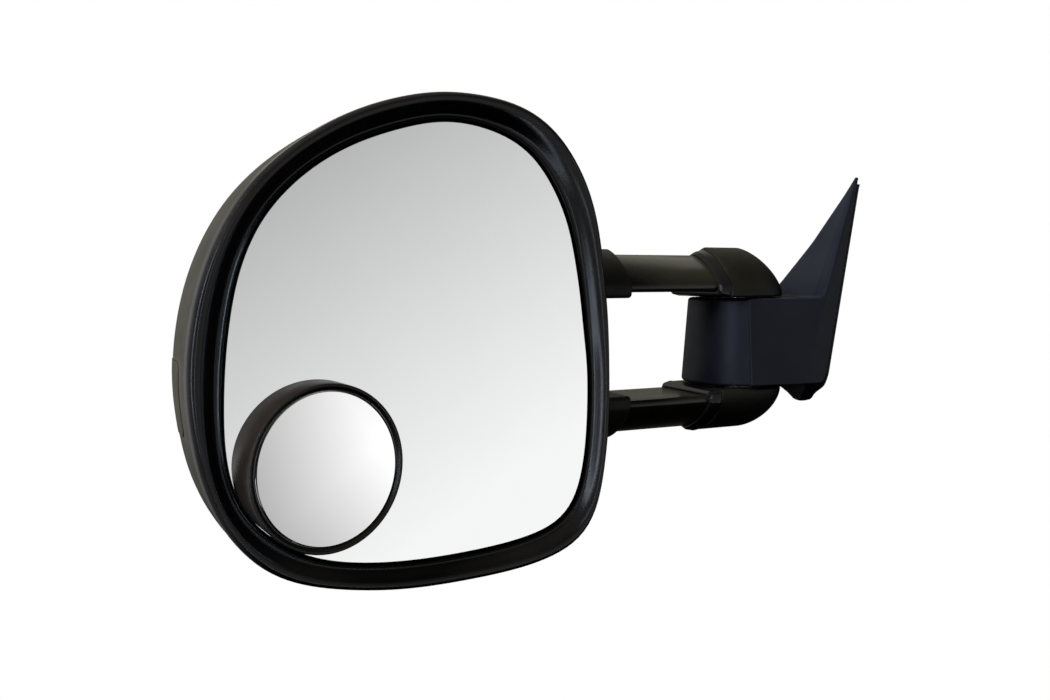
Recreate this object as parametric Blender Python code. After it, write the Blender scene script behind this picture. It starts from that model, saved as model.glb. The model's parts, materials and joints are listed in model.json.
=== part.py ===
"""Extendable car side mirror for towing: door base, folding elbows, two telescopic arms and a mirror head.

World axes: +X points inboard, towards the vehicle, +Y to the front of the vehicle and +Z up. The origin is on
the door's mounting face. Sizes are in millimetres and are turned into metres when a piece is finished.
The head's own pieces are drawn in the head's frame: x along the glass, y into the head and z up, with
y = 0 on the crest of the bezel.
"""
import math

import bmesh
import bpy
import numpy as np
from mathutils import Matrix, Vector

MM = 0.001
GAP = 0.3                     # clearance between neighbouring pieces
RUNNING_GAP = 0.05            # radial clearance of a shaft in its bush

# Mirror head: the rim's outline, seen from behind the car, about the head's centre.
HEAD_CENTRE = (-339.6, -80.1, 10.6)
HEAD_YAW = math.radians(7.0)
RIM_POINTS = ((132, -29), (128.5, 30), (115, 93), (79, 135), (23, 144.4), (-28, 133.5), (-69, 112), (-99, 85),
              (-119, 51), (-130, 12), (-132, -31), (-121, -82), (-91, -121), (-37, -139), (22, -144.2),
              (84, -141), (118, -124), (130, -76))
GLASS_POINTS = ((118.5, -30), (115, 4), (109.5, 42), (98, 82), (70, 117), (23, 129), (-22, 119),
                (-59, 101), (-87.5, 75), (-103.5, 45), (-111.5, 8), (-114.5, -32), (-113, -63), (-103.5, -89),
                (-76, -113), (-40, -124.5), (10, -129), (70, -126.5), (103, -115), (115.5, -82))
OUTLINE_STEPS = 44
GLASS_DEPTH = 7.0             # glass face behind the crest of the bezel
GLASS_THICK = 3.0
PAD_THICK = 0.6
CARRIER_THICK = 2.5
CARRIER_INSET = 8.0           # the carrier stops short of the glass's edge, so its corners can swing back
EDGE_GAP = 2.4                # from the glass opening's outline out to the bezel's inner wall
BEZEL_DEPTH = 15.0
SHELL_START = 9.0             # front edge of the shell, behind the crest
SHELL_DEPTH = 120.0
SHELL_WALL = 2.8
SHELL_POWER = 3.2             # squareness of the shell's section
SHELL_RINGS = 6
SHELL_MIDDLE = (20.0, -20.0)  # deepest point of the shell's back
INSERT_CENTRE = (-128.6, 42.0, -26.0)
INSERT_YAW = math.radians(-6.0)

# Telescopic arms: arched tubes, flat side towards the mid-plane.
MID_Z = -0.6
ARM_HALF = 30.0
ARM_FLAT = 38.2               # flat side, from the mid-plane
ARM_CROWN = 65.2
ARM_SIDE = 4.0                # straight part of the side
ARM_WALL = 2.6
ARM_OUTER_X = -282.0
ARM_INNER_X = -76.0
ARM_CORNER = 3.5
ARM_POWER = 1.4               # the sides slope in towards the crown
SLEEVE_OFFSET = 1.9           # inside of the sleeve, out from the arm
SLEEVE_WALL = 2.0
SLEEVE_END_X = -174.5
SLEEVE_DEEP_X = -296.0
LINER_LENGTH = 26.0
LINER_START_X = {"outer": -201.5, "inner": -246.0}   # the inner one still grips with the arms drawn out

# Fold pivot, elbows and hub.
FOLD_X = -60.0
ELBOW_MOUTH_X = {"upper": -90.0, "lower": -97.0}
ELBOW_HALF = 35.5
ELBOW_FLAT = {"upper": 33.9, "lower": 34.6}
ELBOW_CROWN = {"upper": 71.5, "lower": 68.6}
COLLAR_REACH = 9.5            # how far the collar stands out of the elbow's mouth
ELBOW_SIDE = 2.3
ELBOW_CORNER = 2.0
ELBOW_POWER = {"upper": 1.5, "lower": 1.7}   # squareness of the dome; a half ellipse has 2
ELBOW_STEPS = 14
HUB_TOP = 32.4
HUB_BOTTOM = -33.0
HUB_TOP_RADIUS = 36.0
HUB_BOTTOM_RADIUS = 40.5
SEAM_X = -73.5                # parting line between the hub cover and the base cover
COVER_WALL = 3.0
SHAFT_RADIUS = 10.0
SHAFT_BORE = 6.0
BUSH_WALL = 2.0
CASTING_HUB_RADIUS = 27.0

# Door base. Its mounting face leans outwards, following the door.
LEAN = math.tan(math.radians(10.0))
SAIL_OUTLINE = ((-46, 127), (-39, 113), (-16, 76), (10, 43), (38, 12), (60, -14), (62, -30), (50, -36),
                (-10, -37.5), (-17.5, -42.5), (-22, -48), (-31, -48.3), (-34.5, -42.5), (-43.5, -36),
                (-46, -27))
SAIL_TOP_THICK = 5.5
SAIL_THICKEN = 0.14          # how much thicker the sail gets for each millimetre down
SAIL_APEX_Z = 128.0
FOOT_TRIM = ((-80, -32), (-27, -32), (-17, -50), (-17, -60), (-80, -60))   # (x, z) cut off below the block
BLOCK_REAR = 45.0
BLOCK_FRONT = 49.0
STUD_RADIUS = 3.0
STUD_LENGTH = 10.0
STUD_PLACES = {"stud_upper": (-22, 52), "stud_front": (36, -16), "stud_rear": (-30, -14)}
POCKET_OUTLINE = ((-41, -28), (51, -27), (34, 12), (7, 41), (-19, 73), (-36, 100), (-41, 100))
PLATE_OUTLINE = ((-36, -27), (46, -26), (30, 8), (4, 38), (-22, 66), (-36, 66))
PLATE_THICK = 8.0
GASKET_THICK = 2.5
WIRE_HOLE = (14, -8)

# Glass actuator.
TILT_CENTRE_Y = 18.0
ACTUATOR_FRONT = 22.3
ACTUATOR_BACK = 35.9
ACTUATOR_OUTLINE = ((-28, -42), (42, -42), (42, 33), (-28, 33))
ACTUATOR_WALL = 1.7
FRAME_FRONT = -37.6
FRAME_THICK = 3.1
FRAME_SCREWS = ((-363.0, 33.0), (-306.0, 33.0), (-363.0, -26.0))
LEVER = 22.0                  # plunger axis from the tilting centre
GEAR_RADIUS = 8.0
GEAR_TEETH = 18
WORM_RADIUS = 3.0
WORM_STARTS = 2
WORM_PITCH = 5.0
WORM_LENGTH = 12.0
WORM_OFFSET = LEVER + GEAR_RADIUS + WORM_RADIUS + GAP
DRIVE_Y = 29.0
MOTOR_RADIUS = 4.8
MOTOR_LENGTH = 22.0
PIN_RADIUS = 1.3
YOKE_INNER = 8.0
YOKE_OUTER = 10.6

# Blind spot mirror on the lower outboard corner of the glass.
SPOT_CENTRE = (-66.3, -61.6)
SPOT_RADIUS = 44.6
SPOT_GLASS_RADIUS = 40.8
SPOT_TILT = math.radians(10.3)
SPOT_TURN = math.radians(-19.5)   # turns the thick side from outboard to slightly below it
SPOT_HEIGHT = 26.5
SPOT_BASE_RADIUS = 34.0
SPOT_BASE_THICK = 2.2
SPOT_STEPS = 36

PALETTE = {
    "satin_black": ((0.012, 0.012, 0.014), 0.38, 0.0),
    "textured_black": ((0.022, 0.022, 0.020), 0.6, 0.0),
    "base_black": ((0.020, 0.021, 0.026), 0.55, 0.0),
    "arm_black": ((0.030, 0.029, 0.022), 0.3, 0.0),
    "inner_plastic": ((0.045, 0.046, 0.048), 0.55, 0.0),
    "natural_plastic": ((0.78, 0.77, 0.72), 0.45, 0.0),
    "rubber": ((0.015, 0.015, 0.015), 0.85, 0.0),
    "cast_aluminium": ((0.60, 0.61, 0.62), 0.45, 1.0),
    "steel": ((0.55, 0.56, 0.58), 0.3, 1.0),
    "brass": ((0.72, 0.53, 0.25), 0.35, 1.0),
    "heater_film": ((0.50, 0.27, 0.12), 0.5, 0.0),
    "mirror": ((0.86, 0.87, 0.88), 0.03, 1.0),
}


def clear_scene():
    for item in list(bpy.data.objects):
        bpy.data.objects.remove(item, do_unlink=True)


def make_material(name, finish_name):
    colour, roughness, metallic = PALETTE[finish_name]
    material = bpy.data.materials.new(name + "_" + finish_name)
    material.use_nodes = True
    shader = material.node_tree.nodes["Principled BSDF"]
    shader.inputs["Base Color"].default_value = (*colour, 1.0)
    shader.inputs["Roughness"].default_value = roughness
    shader.inputs["Metallic"].default_value = metallic
    material.diffuse_color = (*colour, 1.0)
    return material


def make_empty(name, place, parent=None, yaw=0.0):
    """An empty marks a joint axis or a frame that pieces are drawn in; place is in millimetres."""
    empty = bpy.data.objects.new(name, None)
    bpy.context.scene.collection.objects.link(empty)
    empty.location = [value * MM for value in place]
    empty.rotation_euler = (0.0, 0.0, yaw)
    empty.parent = parent
    return empty


# ---------------------------------------------------------------- solids

def to_object(bm, name="working"):
    bmesh.ops.remove_doubles(bm, verts=bm.verts, dist=1e-4)
    bmesh.ops.recalc_face_normals(bm, faces=bm.faces)
    mesh = bpy.data.meshes.new(name)
    bm.to_mesh(mesh)
    bm.free()
    item = bpy.data.objects.new(name, mesh)
    bpy.context.scene.collection.objects.link(item)
    return item


def apply_modifiers(item):
    graph = bpy.context.evaluated_depsgraph_get()
    mesh = bpy.data.meshes.new_from_object(item.evaluated_get(graph))
    item.modifiers.clear()
    item.data = mesh


def combine(item, other, operation):
    """Boolean of two working solids; the second one is used up."""
    modifier = item.modifiers.new(operation.lower(), "BOOLEAN")
    modifier.operation = operation
    modifier.solver = "EXACT"
    modifier.object = other
    apply_modifiers(item)
    bpy.data.objects.remove(other, do_unlink=True)
    return item


def cut(item, *cutters):
    for cutter in cutters:
        combine(item, cutter, "DIFFERENCE")
    return item


def join(item, *others):
    for other in others:
        combine(item, other, "UNION")
    return item


def soften(item, width, segments=2, angle=40.0):
    modifier = item.modifiers.new("soft_edges", "BEVEL")
    modifier.width = width
    modifier.segments = segments
    modifier.limit_method = "ANGLE"
    modifier.angle_limit = math.radians(angle)
    modifier.use_clamp_overlap = True
    apply_modifiers(item)
    return item


def finish(name, item, finish_name, parent=None, smooth=35.0):
    """Name a working solid, scale it to metres, shade it and put it under its joint's empty."""
    bm = bmesh.new()
    bm.from_mesh(item.data)
    bmesh.ops.remove_doubles(bm, verts=bm.verts, dist=2e-3)
    bmesh.ops.dissolve_degenerate(bm, edges=bm.edges, dist=2e-3)
    bmesh.ops.scale(bm, vec=(MM, MM, MM), verts=bm.verts)
    bm.to_mesh(item.data)
    bm.free()
    item.name = name
    item.data.name = name
    item.parent = parent
    item.data.materials.clear()
    item.data.materials.append(make_material(name, finish_name))
    item.data.shade_smooth()
    item.data.set_sharp_from_angle(angle=math.radians(smooth))
    return item


def loft(rings, ring_closed=False):
    """Skin through rings of equal length; the ends are capped, or joined when ring_closed is set."""
    bm = bmesh.new()
    rows = [[bm.verts.new(point) for point in ring] for ring in rings]
    pairs = list(zip(rows, rows[1:]))
    if ring_closed:
        pairs.append((rows[-1], rows[0]))
    for low, high in pairs:
        for index in range(len(low)):
            nxt = (index + 1) % len(low)
            bm.faces.new((low[index], low[nxt], high[nxt], high[index]))
    if not ring_closed:
        bm.faces.new(rows[0])
        bm.faces.new(list(reversed(rows[-1])))
    return to_object(bm)


def prism(outline, start, end, axis="x"):
    """Straight extrusion of a closed outline from start to end along an axis."""
    place = {
        "x": lambda a, b, c: (c, a, b),
        "y": lambda a, b, c: (a, c, b),
        "z": lambda a, b, c: (a, b, c),
    }[axis]
    return loft([[place(a, b, c) for a, b in outline] for c in (start, end)])


def box(low, high):
    outline = ((low[0], low[1]), (high[0], low[1]), (high[0], high[1]), (low[0], high[1]))
    return prism(outline, low[2], high[2], "z")


def circle(radius, steps, centre=(0.0, 0.0), start=0.0):
    angles = [start + 2.0 * math.pi * index / steps for index in range(steps)]
    return [(centre[0] + radius * math.cos(a), centre[1] + radius * math.sin(a)) for a in angles]


def turned(profile, steps=24, centre=(0.0, 0.0, 0.0), direction=(0.0, 0.0, 1.0)):
    """Solid of revolution from (radius, height) points; equal first and last points make a ring."""
    ring_closed = profile[0] == profile[-1]
    points = profile[:-1] if ring_closed else profile
    rings = [[(r * math.cos(t), r * math.sin(t), h) for t in
              [2.0 * math.pi * index / steps for index in range(steps)]] for r, h in points]
    item = loft(rings, ring_closed)
    turn = Vector((0.0, 0.0, 1.0)).rotation_difference(Vector(direction)).to_matrix().to_4x4()
    item.data.transform(Matrix.Translation(centre) @ turn)
    return item


def tube(outer, inner, start, end, steps=24, centre=(0.0, 0.0, 0.0), direction=(0.0, 0.0, 1.0)):
    profile = ((outer, start), (outer, end), (inner, end), (inner, start), (outer, start))
    return turned(profile, steps, centre, direction)


def rod(radius, start, end, steps=20, centre=(0.0, 0.0, 0.0), direction=(0.0, 0.0, 1.0)):
    return turned(((radius, start), (radius, end)), steps, centre, direction)


def screw(name, head_radius, head_height, shank_radius, length, seat, direction, parent):
    """Pan-head screw: seat is the point under the head and direction is the way the shank points."""
    profile = ((head_radius * 0.3, -head_height * 0.45), (head_radius * 0.3, -head_height),
               (head_radius * 0.72, -head_height), (head_radius, -head_height * 0.55), (head_radius, 0.0),
               (shank_radius, 0.0), (shank_radius, length - 0.8), (shank_radius - 0.7, length))
    return finish(name, turned(profile, 16, seat, direction), "steel", parent)


# ---------------------------------------------------------------- outlines

def closed_curve(points, steps):
    """Smooth closed curve through the points, sampled at even angles about the origin."""
    count = len(points)
    fine = []
    for index in range(count):
        p0, p1, p2, p3 = [Vector(points[(index + shift) % count]) for shift in (-1, 0, 1, 2)]
        for part in range(16):
            t = part / 16.0
            fine.append(0.5 * (2.0 * p1 + (p2 - p0) * t + (2.0 * p0 - 5.0 * p1 + 4.0 * p2 - p3) * t ** 2
                               + (3.0 * p1 - p0 - 3.0 * p2 + p3) * t ** 3))
    turns = np.unwrap([math.atan2(point.y, point.x) for point in fine])
    radii = [point.length for point in fine]
    result = []
    for step in range(steps):
        turn = 2.0 * math.pi * step / steps
        radius = np.interp(turn, turns, radii, period=2.0 * math.pi)
        result.append(Vector((radius * math.cos(turn), radius * math.sin(turn))))
    return result


def inset(outline, amount):
    """Move each point of an anticlockwise outline inwards by an amount in millimetres."""
    moved = []
    for index, point in enumerate(outline):
        along = outline[(index + 1) % len(outline)] - outline[index - 1]
        normal = Vector((along.y, -along.x)).normalized()
        moved.append(point - normal * amount)
    return moved


def rim_outline(share=0.0, extra=0.0):
    """Outline between the rim (share 0) and the glass opening (share 1), moved in by extra millimetres."""
    rim = closed_curve(RIM_POINTS, OUTLINE_STEPS)
    opening = closed_curve(GLASS_POINTS, OUTLINE_STEPS)
    blend = [outer.lerp(inner, share) for outer, inner in zip(rim, opening)]
    return inset(blend, extra)


def d_section(offset, half, flat, side, crown, up=1.0, corner=ARM_CORNER, power=ARM_POWER, steps=12):
    """Arched section in (y, z): flat towards the mid-plane, with sloping sides up to a rounded crown."""
    corner = min(corner, side + offset - 0.2)
    half, flat, crown = half + offset, flat - offset, crown + offset
    points = []
    for step in range(3):
        turn = math.radians(45.0 * step)
        points.append((-half + corner - corner * math.sin(turn), flat + corner - corner * math.cos(turn)))
    shoulder = flat + side + offset
    for step in range(1, steps):
        turn = math.pi * step / steps
        reach = abs(math.cos(turn)) ** (2.0 / power) * math.copysign(1.0, math.cos(turn))
        rise = math.sin(turn) ** (2.0 / power)
        points.append((-half * reach, shoulder + (crown - shoulder) * rise))
    for step in range(2, -1, -1):
        turn = math.radians(45.0 * step)
        points.append((half - corner + corner * math.sin(turn), flat + corner - corner * math.cos(turn)))
    return [(y, MID_Z + up * z) for y, z in points]


def arm_section(offset, up):
    return d_section(offset, ARM_HALF, ARM_FLAT, ARM_SIDE, ARM_CROWN, up)


# ---------------------------------------------------------------- door base

MOUNT_NORMAL = (math.cos(math.atan(LEAN)), 0.0, -math.sin(math.atan(LEAN)))


def mount_x(z):
    return z * LEAN


def mount_point(y, z, out=0.0):
    """Point on the mounting face, moved out along its normal."""
    return tuple(Vector((mount_x(z), y, z)) + out * Vector(MOUNT_NORMAL))


def sail_outline(shrink):
    outline = [Vector(point) for point in reversed(SAIL_OUTLINE)]
    return inset(outline, shrink)


def sail_thickness(z):
    return SAIL_TOP_THICK + (SAIL_APEX_Z - z) * SAIL_THICKEN


def sail_solid(outline, inner_gap, wall):
    """Wedge between the mounting face and the sail's outer face, which thickens downwards."""
    inner = [(mount_x(z) - inner_gap, y, z) for y, z in outline]
    outer = [(mount_x(z) - sail_thickness(z) + wall, y, z) for y, z in outline]
    return loft([inner, outer])


def hub_radius(z):
    share = (HUB_TOP - z) / (HUB_TOP - HUB_BOTTOM)
    return HUB_TOP_RADIUS + (HUB_BOTTOM_RADIUS - HUB_TOP_RADIUS) * share


def block_solid(shrink, low, high, outer_x, depth):
    """Block from the parting line, where its sides meet the hub's barrel, to a depth in front of the door.

    Its rear side runs out into the rolled edge of the sail.
    """
    rings = []
    for z in (low, high):
        side = math.sqrt(hub_radius(z) ** 2 - (SEAM_X - FOLD_X) ** 2) - shrink
        rear = -BLOCK_REAR + shrink
        front = BLOCK_FRONT - shrink
        edge_x = mount_x(z) - sail_thickness(z) + 2.5
        inner_x = mount_x(z) - depth
        rings.append([(outer_x, -side, z), (edge_x, rear, z), (inner_x, rear, z), (inner_x, front, z),
                      (outer_x, side, z)])
    return loft(rings)


def hub_barrel(shrink, low, high):
    profile = ((hub_radius(low) - shrink, low), (hub_radius(high) - shrink, high))
    return turned(profile, 48, (FOLD_X, 0.0, 0.0))


def hub_hole(radius):
    return rod(radius, HUB_BOTTOM - 5.0, HUB_TOP + 5.0, 32, (FOLD_X, 0.0, 0.0))


def build_base_cover():
    """Moulded cover: the sail and the block that reaches out to the hub, open towards the door."""
    cover = sail_solid(sail_outline(0.0), GASKET_THICK + GAP, 0.0)
    cut(cover, prism(FOOT_TRIM, -60.0, 80.0, "y"))
    join(cover, block_solid(0.0, HUB_BOTTOM, HUB_TOP, SEAM_X, 6.0))
    cover = soften(cover, 1.6, 2, 30.0)
    low = HUB_BOTTOM + COVER_WALL
    high = HUB_TOP - COVER_WALL
    cut(cover, block_solid(COVER_WALL, low, high, SEAM_X - 5.0, 12.5),
        sail_solid([Vector(point) for point in POCKET_OUTLINE], -5.0, COVER_WALL),
        hub_hole(CASTING_HUB_RADIUS + 1.0),
        rod(ELBOW_HALF + 2.0, HUB_BOTTOM - 30.0, HUB_BOTTOM - GAP, 40, (FOLD_X, 0.0, 0.0)))
    return finish("base_cover", cover, "base_black")


def build_hub_cover():
    """Half barrel that closes the hub on its outboard side."""
    cover = hub_barrel(0.0, HUB_BOTTOM, HUB_TOP)
    cover = soften(cover, 2.5, 2, 50.0)
    cut(cover, hub_barrel(COVER_WALL, HUB_BOTTOM + COVER_WALL, HUB_TOP - COVER_WALL),
        hub_hole(CASTING_HUB_RADIUS + 1.0),
        box((SEAM_X - GAP, -60.0, HUB_BOTTOM - 5.0), (FOLD_X + 60.0, 60.0, HUB_TOP + 5.0)))
    return finish("hub_cover", cover, "base_black")


def build_base_casting():
    """Casting that carries the load: mounting plate, neck and hub with its bore."""
    outline = [Vector(point) for point in PLATE_OUTLINE]
    plate = loft([[(mount_x(z) - depth, y, z) for y, z in outline] for depth in (0.0, PLATE_THICK)])
    neck = box((FOLD_X + 10.0, -24.0, -22.0), (-4.0, 24.0, 22.0))
    neck = soften(neck, 3.0, 1)
    hub = rod(CASTING_HUB_RADIUS, HUB_BOTTOM + 0.4, HUB_TOP - 0.2, 40, (FOLD_X, 0.0, 0.0))
    casting = join(plate, neck, hub)
    cut(casting, hub_hole(SHAFT_RADIUS + BUSH_WALL + GAP))
    for y, z in STUD_PLACES.values():
        cut(casting, rod(STUD_RADIUS + GAP, -30.0, 30.0, 16, mount_point(y, z), MOUNT_NORMAL))
    cut(casting, rod(8.0, -9.5, 20.0, 20, mount_point(*WIRE_HOLE), MOUNT_NORMAL))
    return finish("base_casting", casting, "cast_aluminium")


def build_door_seals():
    rings = []
    for shrink, back in ((0.6, GASKET_THICK), (0.6, 0.0), (4.6, 0.0), (4.6, GASKET_THICK)):
        rings.append([(mount_x(z) - back, y, z) for y, z in sail_outline(shrink)])
    finish("door_gasket", loft(rings, True), "rubber")
    place = mount_point(*WIRE_HOLE)
    profile = ((3.6, -4.0), (7.6, -4.0), (7.6, 2.8), (6.4, 4.4), (3.6, 4.4), (3.6, -4.0))
    finish("wiring_grommet", turned(profile, 24, place, MOUNT_NORMAL), "rubber")
    finish("harness_cable", rod(3.2, -7.0, 22.0, 12, place, MOUNT_NORMAL), "rubber")
    plug = box((-5.0, -9.0, 22.4), (5.0, 9.0, 42.0))
    plug = soften(plug, 1.2, 1)
    plug = cut(plug, box((-3.6, -7.4, 30.0), (3.6, 7.4, 44.0)))
    turn = Vector((0.0, 0.0, 1.0)).rotation_difference(Vector(MOUNT_NORMAL)).to_matrix().to_4x4()
    plug.data.transform(Matrix.Translation(place) @ turn)
    finish("harness_plug", plug, "inner_plastic")


def build_studs():
    for name, (y, z) in STUD_PLACES.items():
        profile = ((5.0, -PLATE_THICK - 3.3), (5.0, -PLATE_THICK - GAP), (STUD_RADIUS, -PLATE_THICK - GAP),
                   (STUD_RADIUS, STUD_LENGTH - 1.0), (STUD_RADIUS - 1.0, STUD_LENGTH))
        finish(name, turned(profile, 16, mount_point(y, z), MOUNT_NORMAL), "steel")


def build_pivot():
    """Shaft, bushes and the sprung detent stack, all round the fold axis."""
    inner = SHAFT_RADIUS + RUNNING_GAP
    outer = SHAFT_RADIUS + BUSH_WALL
    for name, low, high in (("upper_bush", 10.0, HUB_TOP - 0.6), ("lower_bush", HUB_BOTTOM + 0.8, -10.0)):
        finish(name, tube(outer, inner, low, high, 32, (FOLD_X, 0.0, 0.0)), "natural_plastic")
    low = HUB_BOTTOM - 1.9
    ring = tube(24.0, 13.0, low, HUB_BOTTOM + 0.1, 32, (FOLD_X, 0.0, 0.0))
    for angle in (0.0, 90.0, 180.0, 270.0):
        turn = math.radians(angle)
        direction = (math.cos(turn), math.sin(turn), 0.0)
        ring = cut(ring, rod(1.2, 10.0, 30.0, 10, (FOLD_X, 0.0, low), direction))
    finish("detent_ring", ring, "steel")

    pivot = bpy.data.objects["fold_axis"]
    shaft = tube(SHAFT_RADIUS, SHAFT_BORE, -61.0, 60.0, 32)
    finish("pivot_shaft", shaft, "steel", pivot)
    finish("thrust_washer", tube(15.0, SHAFT_RADIUS + GAP, -39.6, -37.6, 32), "steel", pivot)
    nut = prism(circle(14.0, 6), -60.6, -55.0, "z")
    nut = cut(soften(nut, 0.8, 1), rod(SHAFT_RADIUS + GAP, -70.0, -50.0, 24))
    finish("shaft_nut", nut, "steel", pivot)
    finish("detent_spring", coil(12.4, 1.1, 3.5, -53.4, -41.0), "steel", pivot)


def coil(radius, wire, turns, low, high, steps=10, sides=5):
    """Helical wire; its height runs from low to high at the wire's centre line."""
    rings = []
    count = int(turns * steps)
    for index in range(count + 1):
        share = index / count
        turn = 2.0 * math.pi * turns * share
        centre = Vector((radius * math.cos(turn), radius * math.sin(turn), low + (high - low) * share))
        out = Vector((math.cos(turn), math.sin(turn), 0.0))
        rings.append([centre + wire * (math.cos(a) * out + math.sin(a) * Vector((0.0, 0.0, 1.0)))
                      for a in [2.0 * math.pi * side / sides for side in range(sides)]])
    return loft(rings)


# ---------------------------------------------------------------- elbows and arms

def elbow_section(side, up, offset=0.0):
    return d_section(offset, ELBOW_HALF, ELBOW_FLAT[side], ELBOW_SIDE, ELBOW_CROWN[side], up,
                     ELBOW_CORNER, ELBOW_POWER[side], 12)


def elbow_solid(side, up):
    """Arched hood: straight from its mouth to the fold axis, then turned half round that axis."""
    section = elbow_section(side, up)
    crown = len(section) // 2
    bm = bmesh.new()
    mouth = [bm.verts.new((ELBOW_MOUTH_X[side] - FOLD_X, y, z)) for y, z in section]
    rows = []
    for step in range(ELBOW_STEPS + 1):
        turn = math.pi * (step / ELBOW_STEPS - 0.5)
        across, along = math.cos(turn), math.sin(turn)
        rows.append([bm.verts.new((-y * across, -y * along, z)) for y, z in section[:crown + 1]])
    rows = [mouth[:crown + 1]] + rows + [mouth[:crown - 1:-1]]
    for low, high in zip(rows, rows[1:]):
        for index in range(crown):
            bm.faces.new((low[index], low[index + 1], high[index + 1], high[index]))
    bm.faces.new(mouth)
    bm.faces.new([row[0] for row in rows])
    return to_object(bm)


def build_elbow(side, up):
    pivot = bpy.data.objects["fold_axis"]
    elbow = elbow_solid(side, up)
    mouth = ELBOW_MOUTH_X[side] - FOLD_X
    collar_in = mouth + 8.0
    arm_in = ARM_INNER_X - FOLD_X + GAP
    cut(elbow, prism(arm_section(2.4, up), mouth - 5.0, collar_in),
        prism(arm_section(GAP, up), mouth - 4.0, arm_in))
    if up > 0:
        cut(elbow, rod(SHAFT_RADIUS + GAP, 20.0, 60.5, 32))
    else:
        cut(elbow, rod(16.0, -61.3, -20.0, 32))
    cut(elbow, rod(2.3, -30.0, 30.0, 16, pin_centre(up), (0.0, 1.0, 0.0)))
    return finish(side + "_elbow", elbow, "textured_black", pivot)


def pin_centre(up):
    return (-79.0 - FOLD_X, 0.0, MID_Z + up * 44.0)


def build_arm(side, up):
    pivot = bpy.data.objects["fold_axis"]
    start = ARM_OUTER_X - FOLD_X
    end = ARM_INNER_X - FOLD_X
    arm = prism(arm_section(0.0, up), start, end)
    cut(arm, prism(arm_section(-ARM_WALL, up), start - 5.0, end + 5.0),
        rod(2.3, -40.0, 40.0, 16, pin_centre(up), (0.0, 1.0, 0.0)))
    finish(side + "_arm", arm, "arm_black", pivot)
    finish(side + "_arm_pin", rod(2.0, -29.6, 29.6, 16, pin_centre(up), (0.0, 1.0, 0.0)), "steel", pivot)

    mouth = ELBOW_MOUTH_X[side] - FOLD_X
    rings = [[(x, y, z) for y, z in arm_section(offset, up)]
             for x, offset in ((-COLLAR_REACH, 1.2), (1.8 - COLLAR_REACH, 3.0), (-1.2, 4.2), (-GAP, 4.2))]
    collar = loft([[(mouth + x, y, z) for x, y, z in ring] for ring in rings])
    collar = join(collar, prism(arm_section(2.1, up), mouth - 2.0, mouth + 7.5))
    cut(collar, prism(arm_section(GAP, up), mouth - 18.0, mouth + 20.0))
    finish(side + "_arm_collar", collar, "satin_black", pivot)

    cap = prism(arm_section(-0.4, up), start - 2.8, start - GAP)
    cap = join(cap, prism(arm_section(-ARM_WALL - GAP, up), start - 1.0, start + 8.0))
    finish(side + "_arm_cap", cap, "inner_plastic", pivot)


# ---------------------------------------------------------------- mirror head

def build_sleeve(side, up):
    slide = bpy.data.objects["slide_axis"]
    inner = SLEEVE_OFFSET
    outer = inner + SLEEVE_WALL
    sleeve = prism(arm_section(outer, up), SLEEVE_DEEP_X, SLEEVE_END_X)
    sleeve = soften(sleeve, 1.0, 1, 60.0)
    cut(sleeve, prism(arm_section(inner, up), SLEEVE_DEEP_X - 5.0, SLEEVE_END_X + 5.0))
    finish(side + "_sleeve", sleeve, "textured_black", slide)
    for place, start in LINER_START_X.items():
        liner = prism(arm_section(inner - GAP, up), start, start + LINER_LENGTH)
        cut(liner, prism(arm_section(GAP, up), start - 5.0, start + LINER_LENGTH + 5.0))
        finish(side + "_liner_" + place, liner, "natural_plastic", slide)


def shell_rings(wall):
    """Rings of the shell's outer or inner face from the rim to near the middle of its back."""
    outline = rim_outline(0.0, 0.6 + wall)
    centre = Vector(SHELL_MIDDLE)
    depth = SHELL_DEPTH - wall
    rings = []
    for index in range(SHELL_RINGS + 1):
        turn = 0.5 * math.pi * (index / SHELL_RINGS) ** 0.8 * 0.985
        scale = math.cos(turn) ** (2.0 / SHELL_POWER)
        back = SHELL_START + (depth - SHELL_START) * math.sin(turn) ** (2.0 / SHELL_POWER)
        rings.append([(centre.x + (p.x - centre.x) * scale, back, centre.y + (p.y - centre.y) * scale)
                      for p in outline])
    return rings


def build_shell():
    head = bpy.data.objects["head_datum"]
    shell = loft(shell_rings(0.0)[::-1] + shell_rings(SHELL_WALL))
    to_head = Matrix.Translation(HEAD_CENTRE) @ Matrix.Rotation(HEAD_YAW, 4, "Z")
    for up in (1.0, -1.0):
        window = prism(arm_section(SLEEVE_OFFSET + SLEEVE_WALL + GAP, up), SLEEVE_DEEP_X - 1.0, -140.0)
        window.data.transform(to_head.inverted())
        cut(shell, window)
    cut(shell, insert_solid(GAP))
    return finish("head_shell", shell, "textured_black", head)


def insert_solid(grow):
    """Rounded plate on the shell's outboard wall; grow turns it into the pocket that holds it."""
    half_y, half_z = 17.0 + grow, 20.0 + grow
    outline = []
    for corner, (sy, sz) in enumerate(((1, 1), (-1, 1), (-1, -1), (1, -1))):
        for step in range(4):
            turn = math.radians(90.0 * corner + 30.0 * step)
            outline.append((sy * (half_y - 5.0) + 5.0 * math.cos(turn),
                            sz * (half_z - 5.0) + 5.0 * math.sin(turn)))
    item = prism(outline, -6.0 if grow else -0.6, 10.0 if grow else 3.6)
    item.data.transform(Matrix.Translation(INSERT_CENTRE) @ Matrix.Rotation(INSERT_YAW, 4, "Z"))
    return item


def build_insert():
    finish("indicator_blank", insert_solid(0.0), "textured_black", bpy.data.objects["head_datum"])


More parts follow.
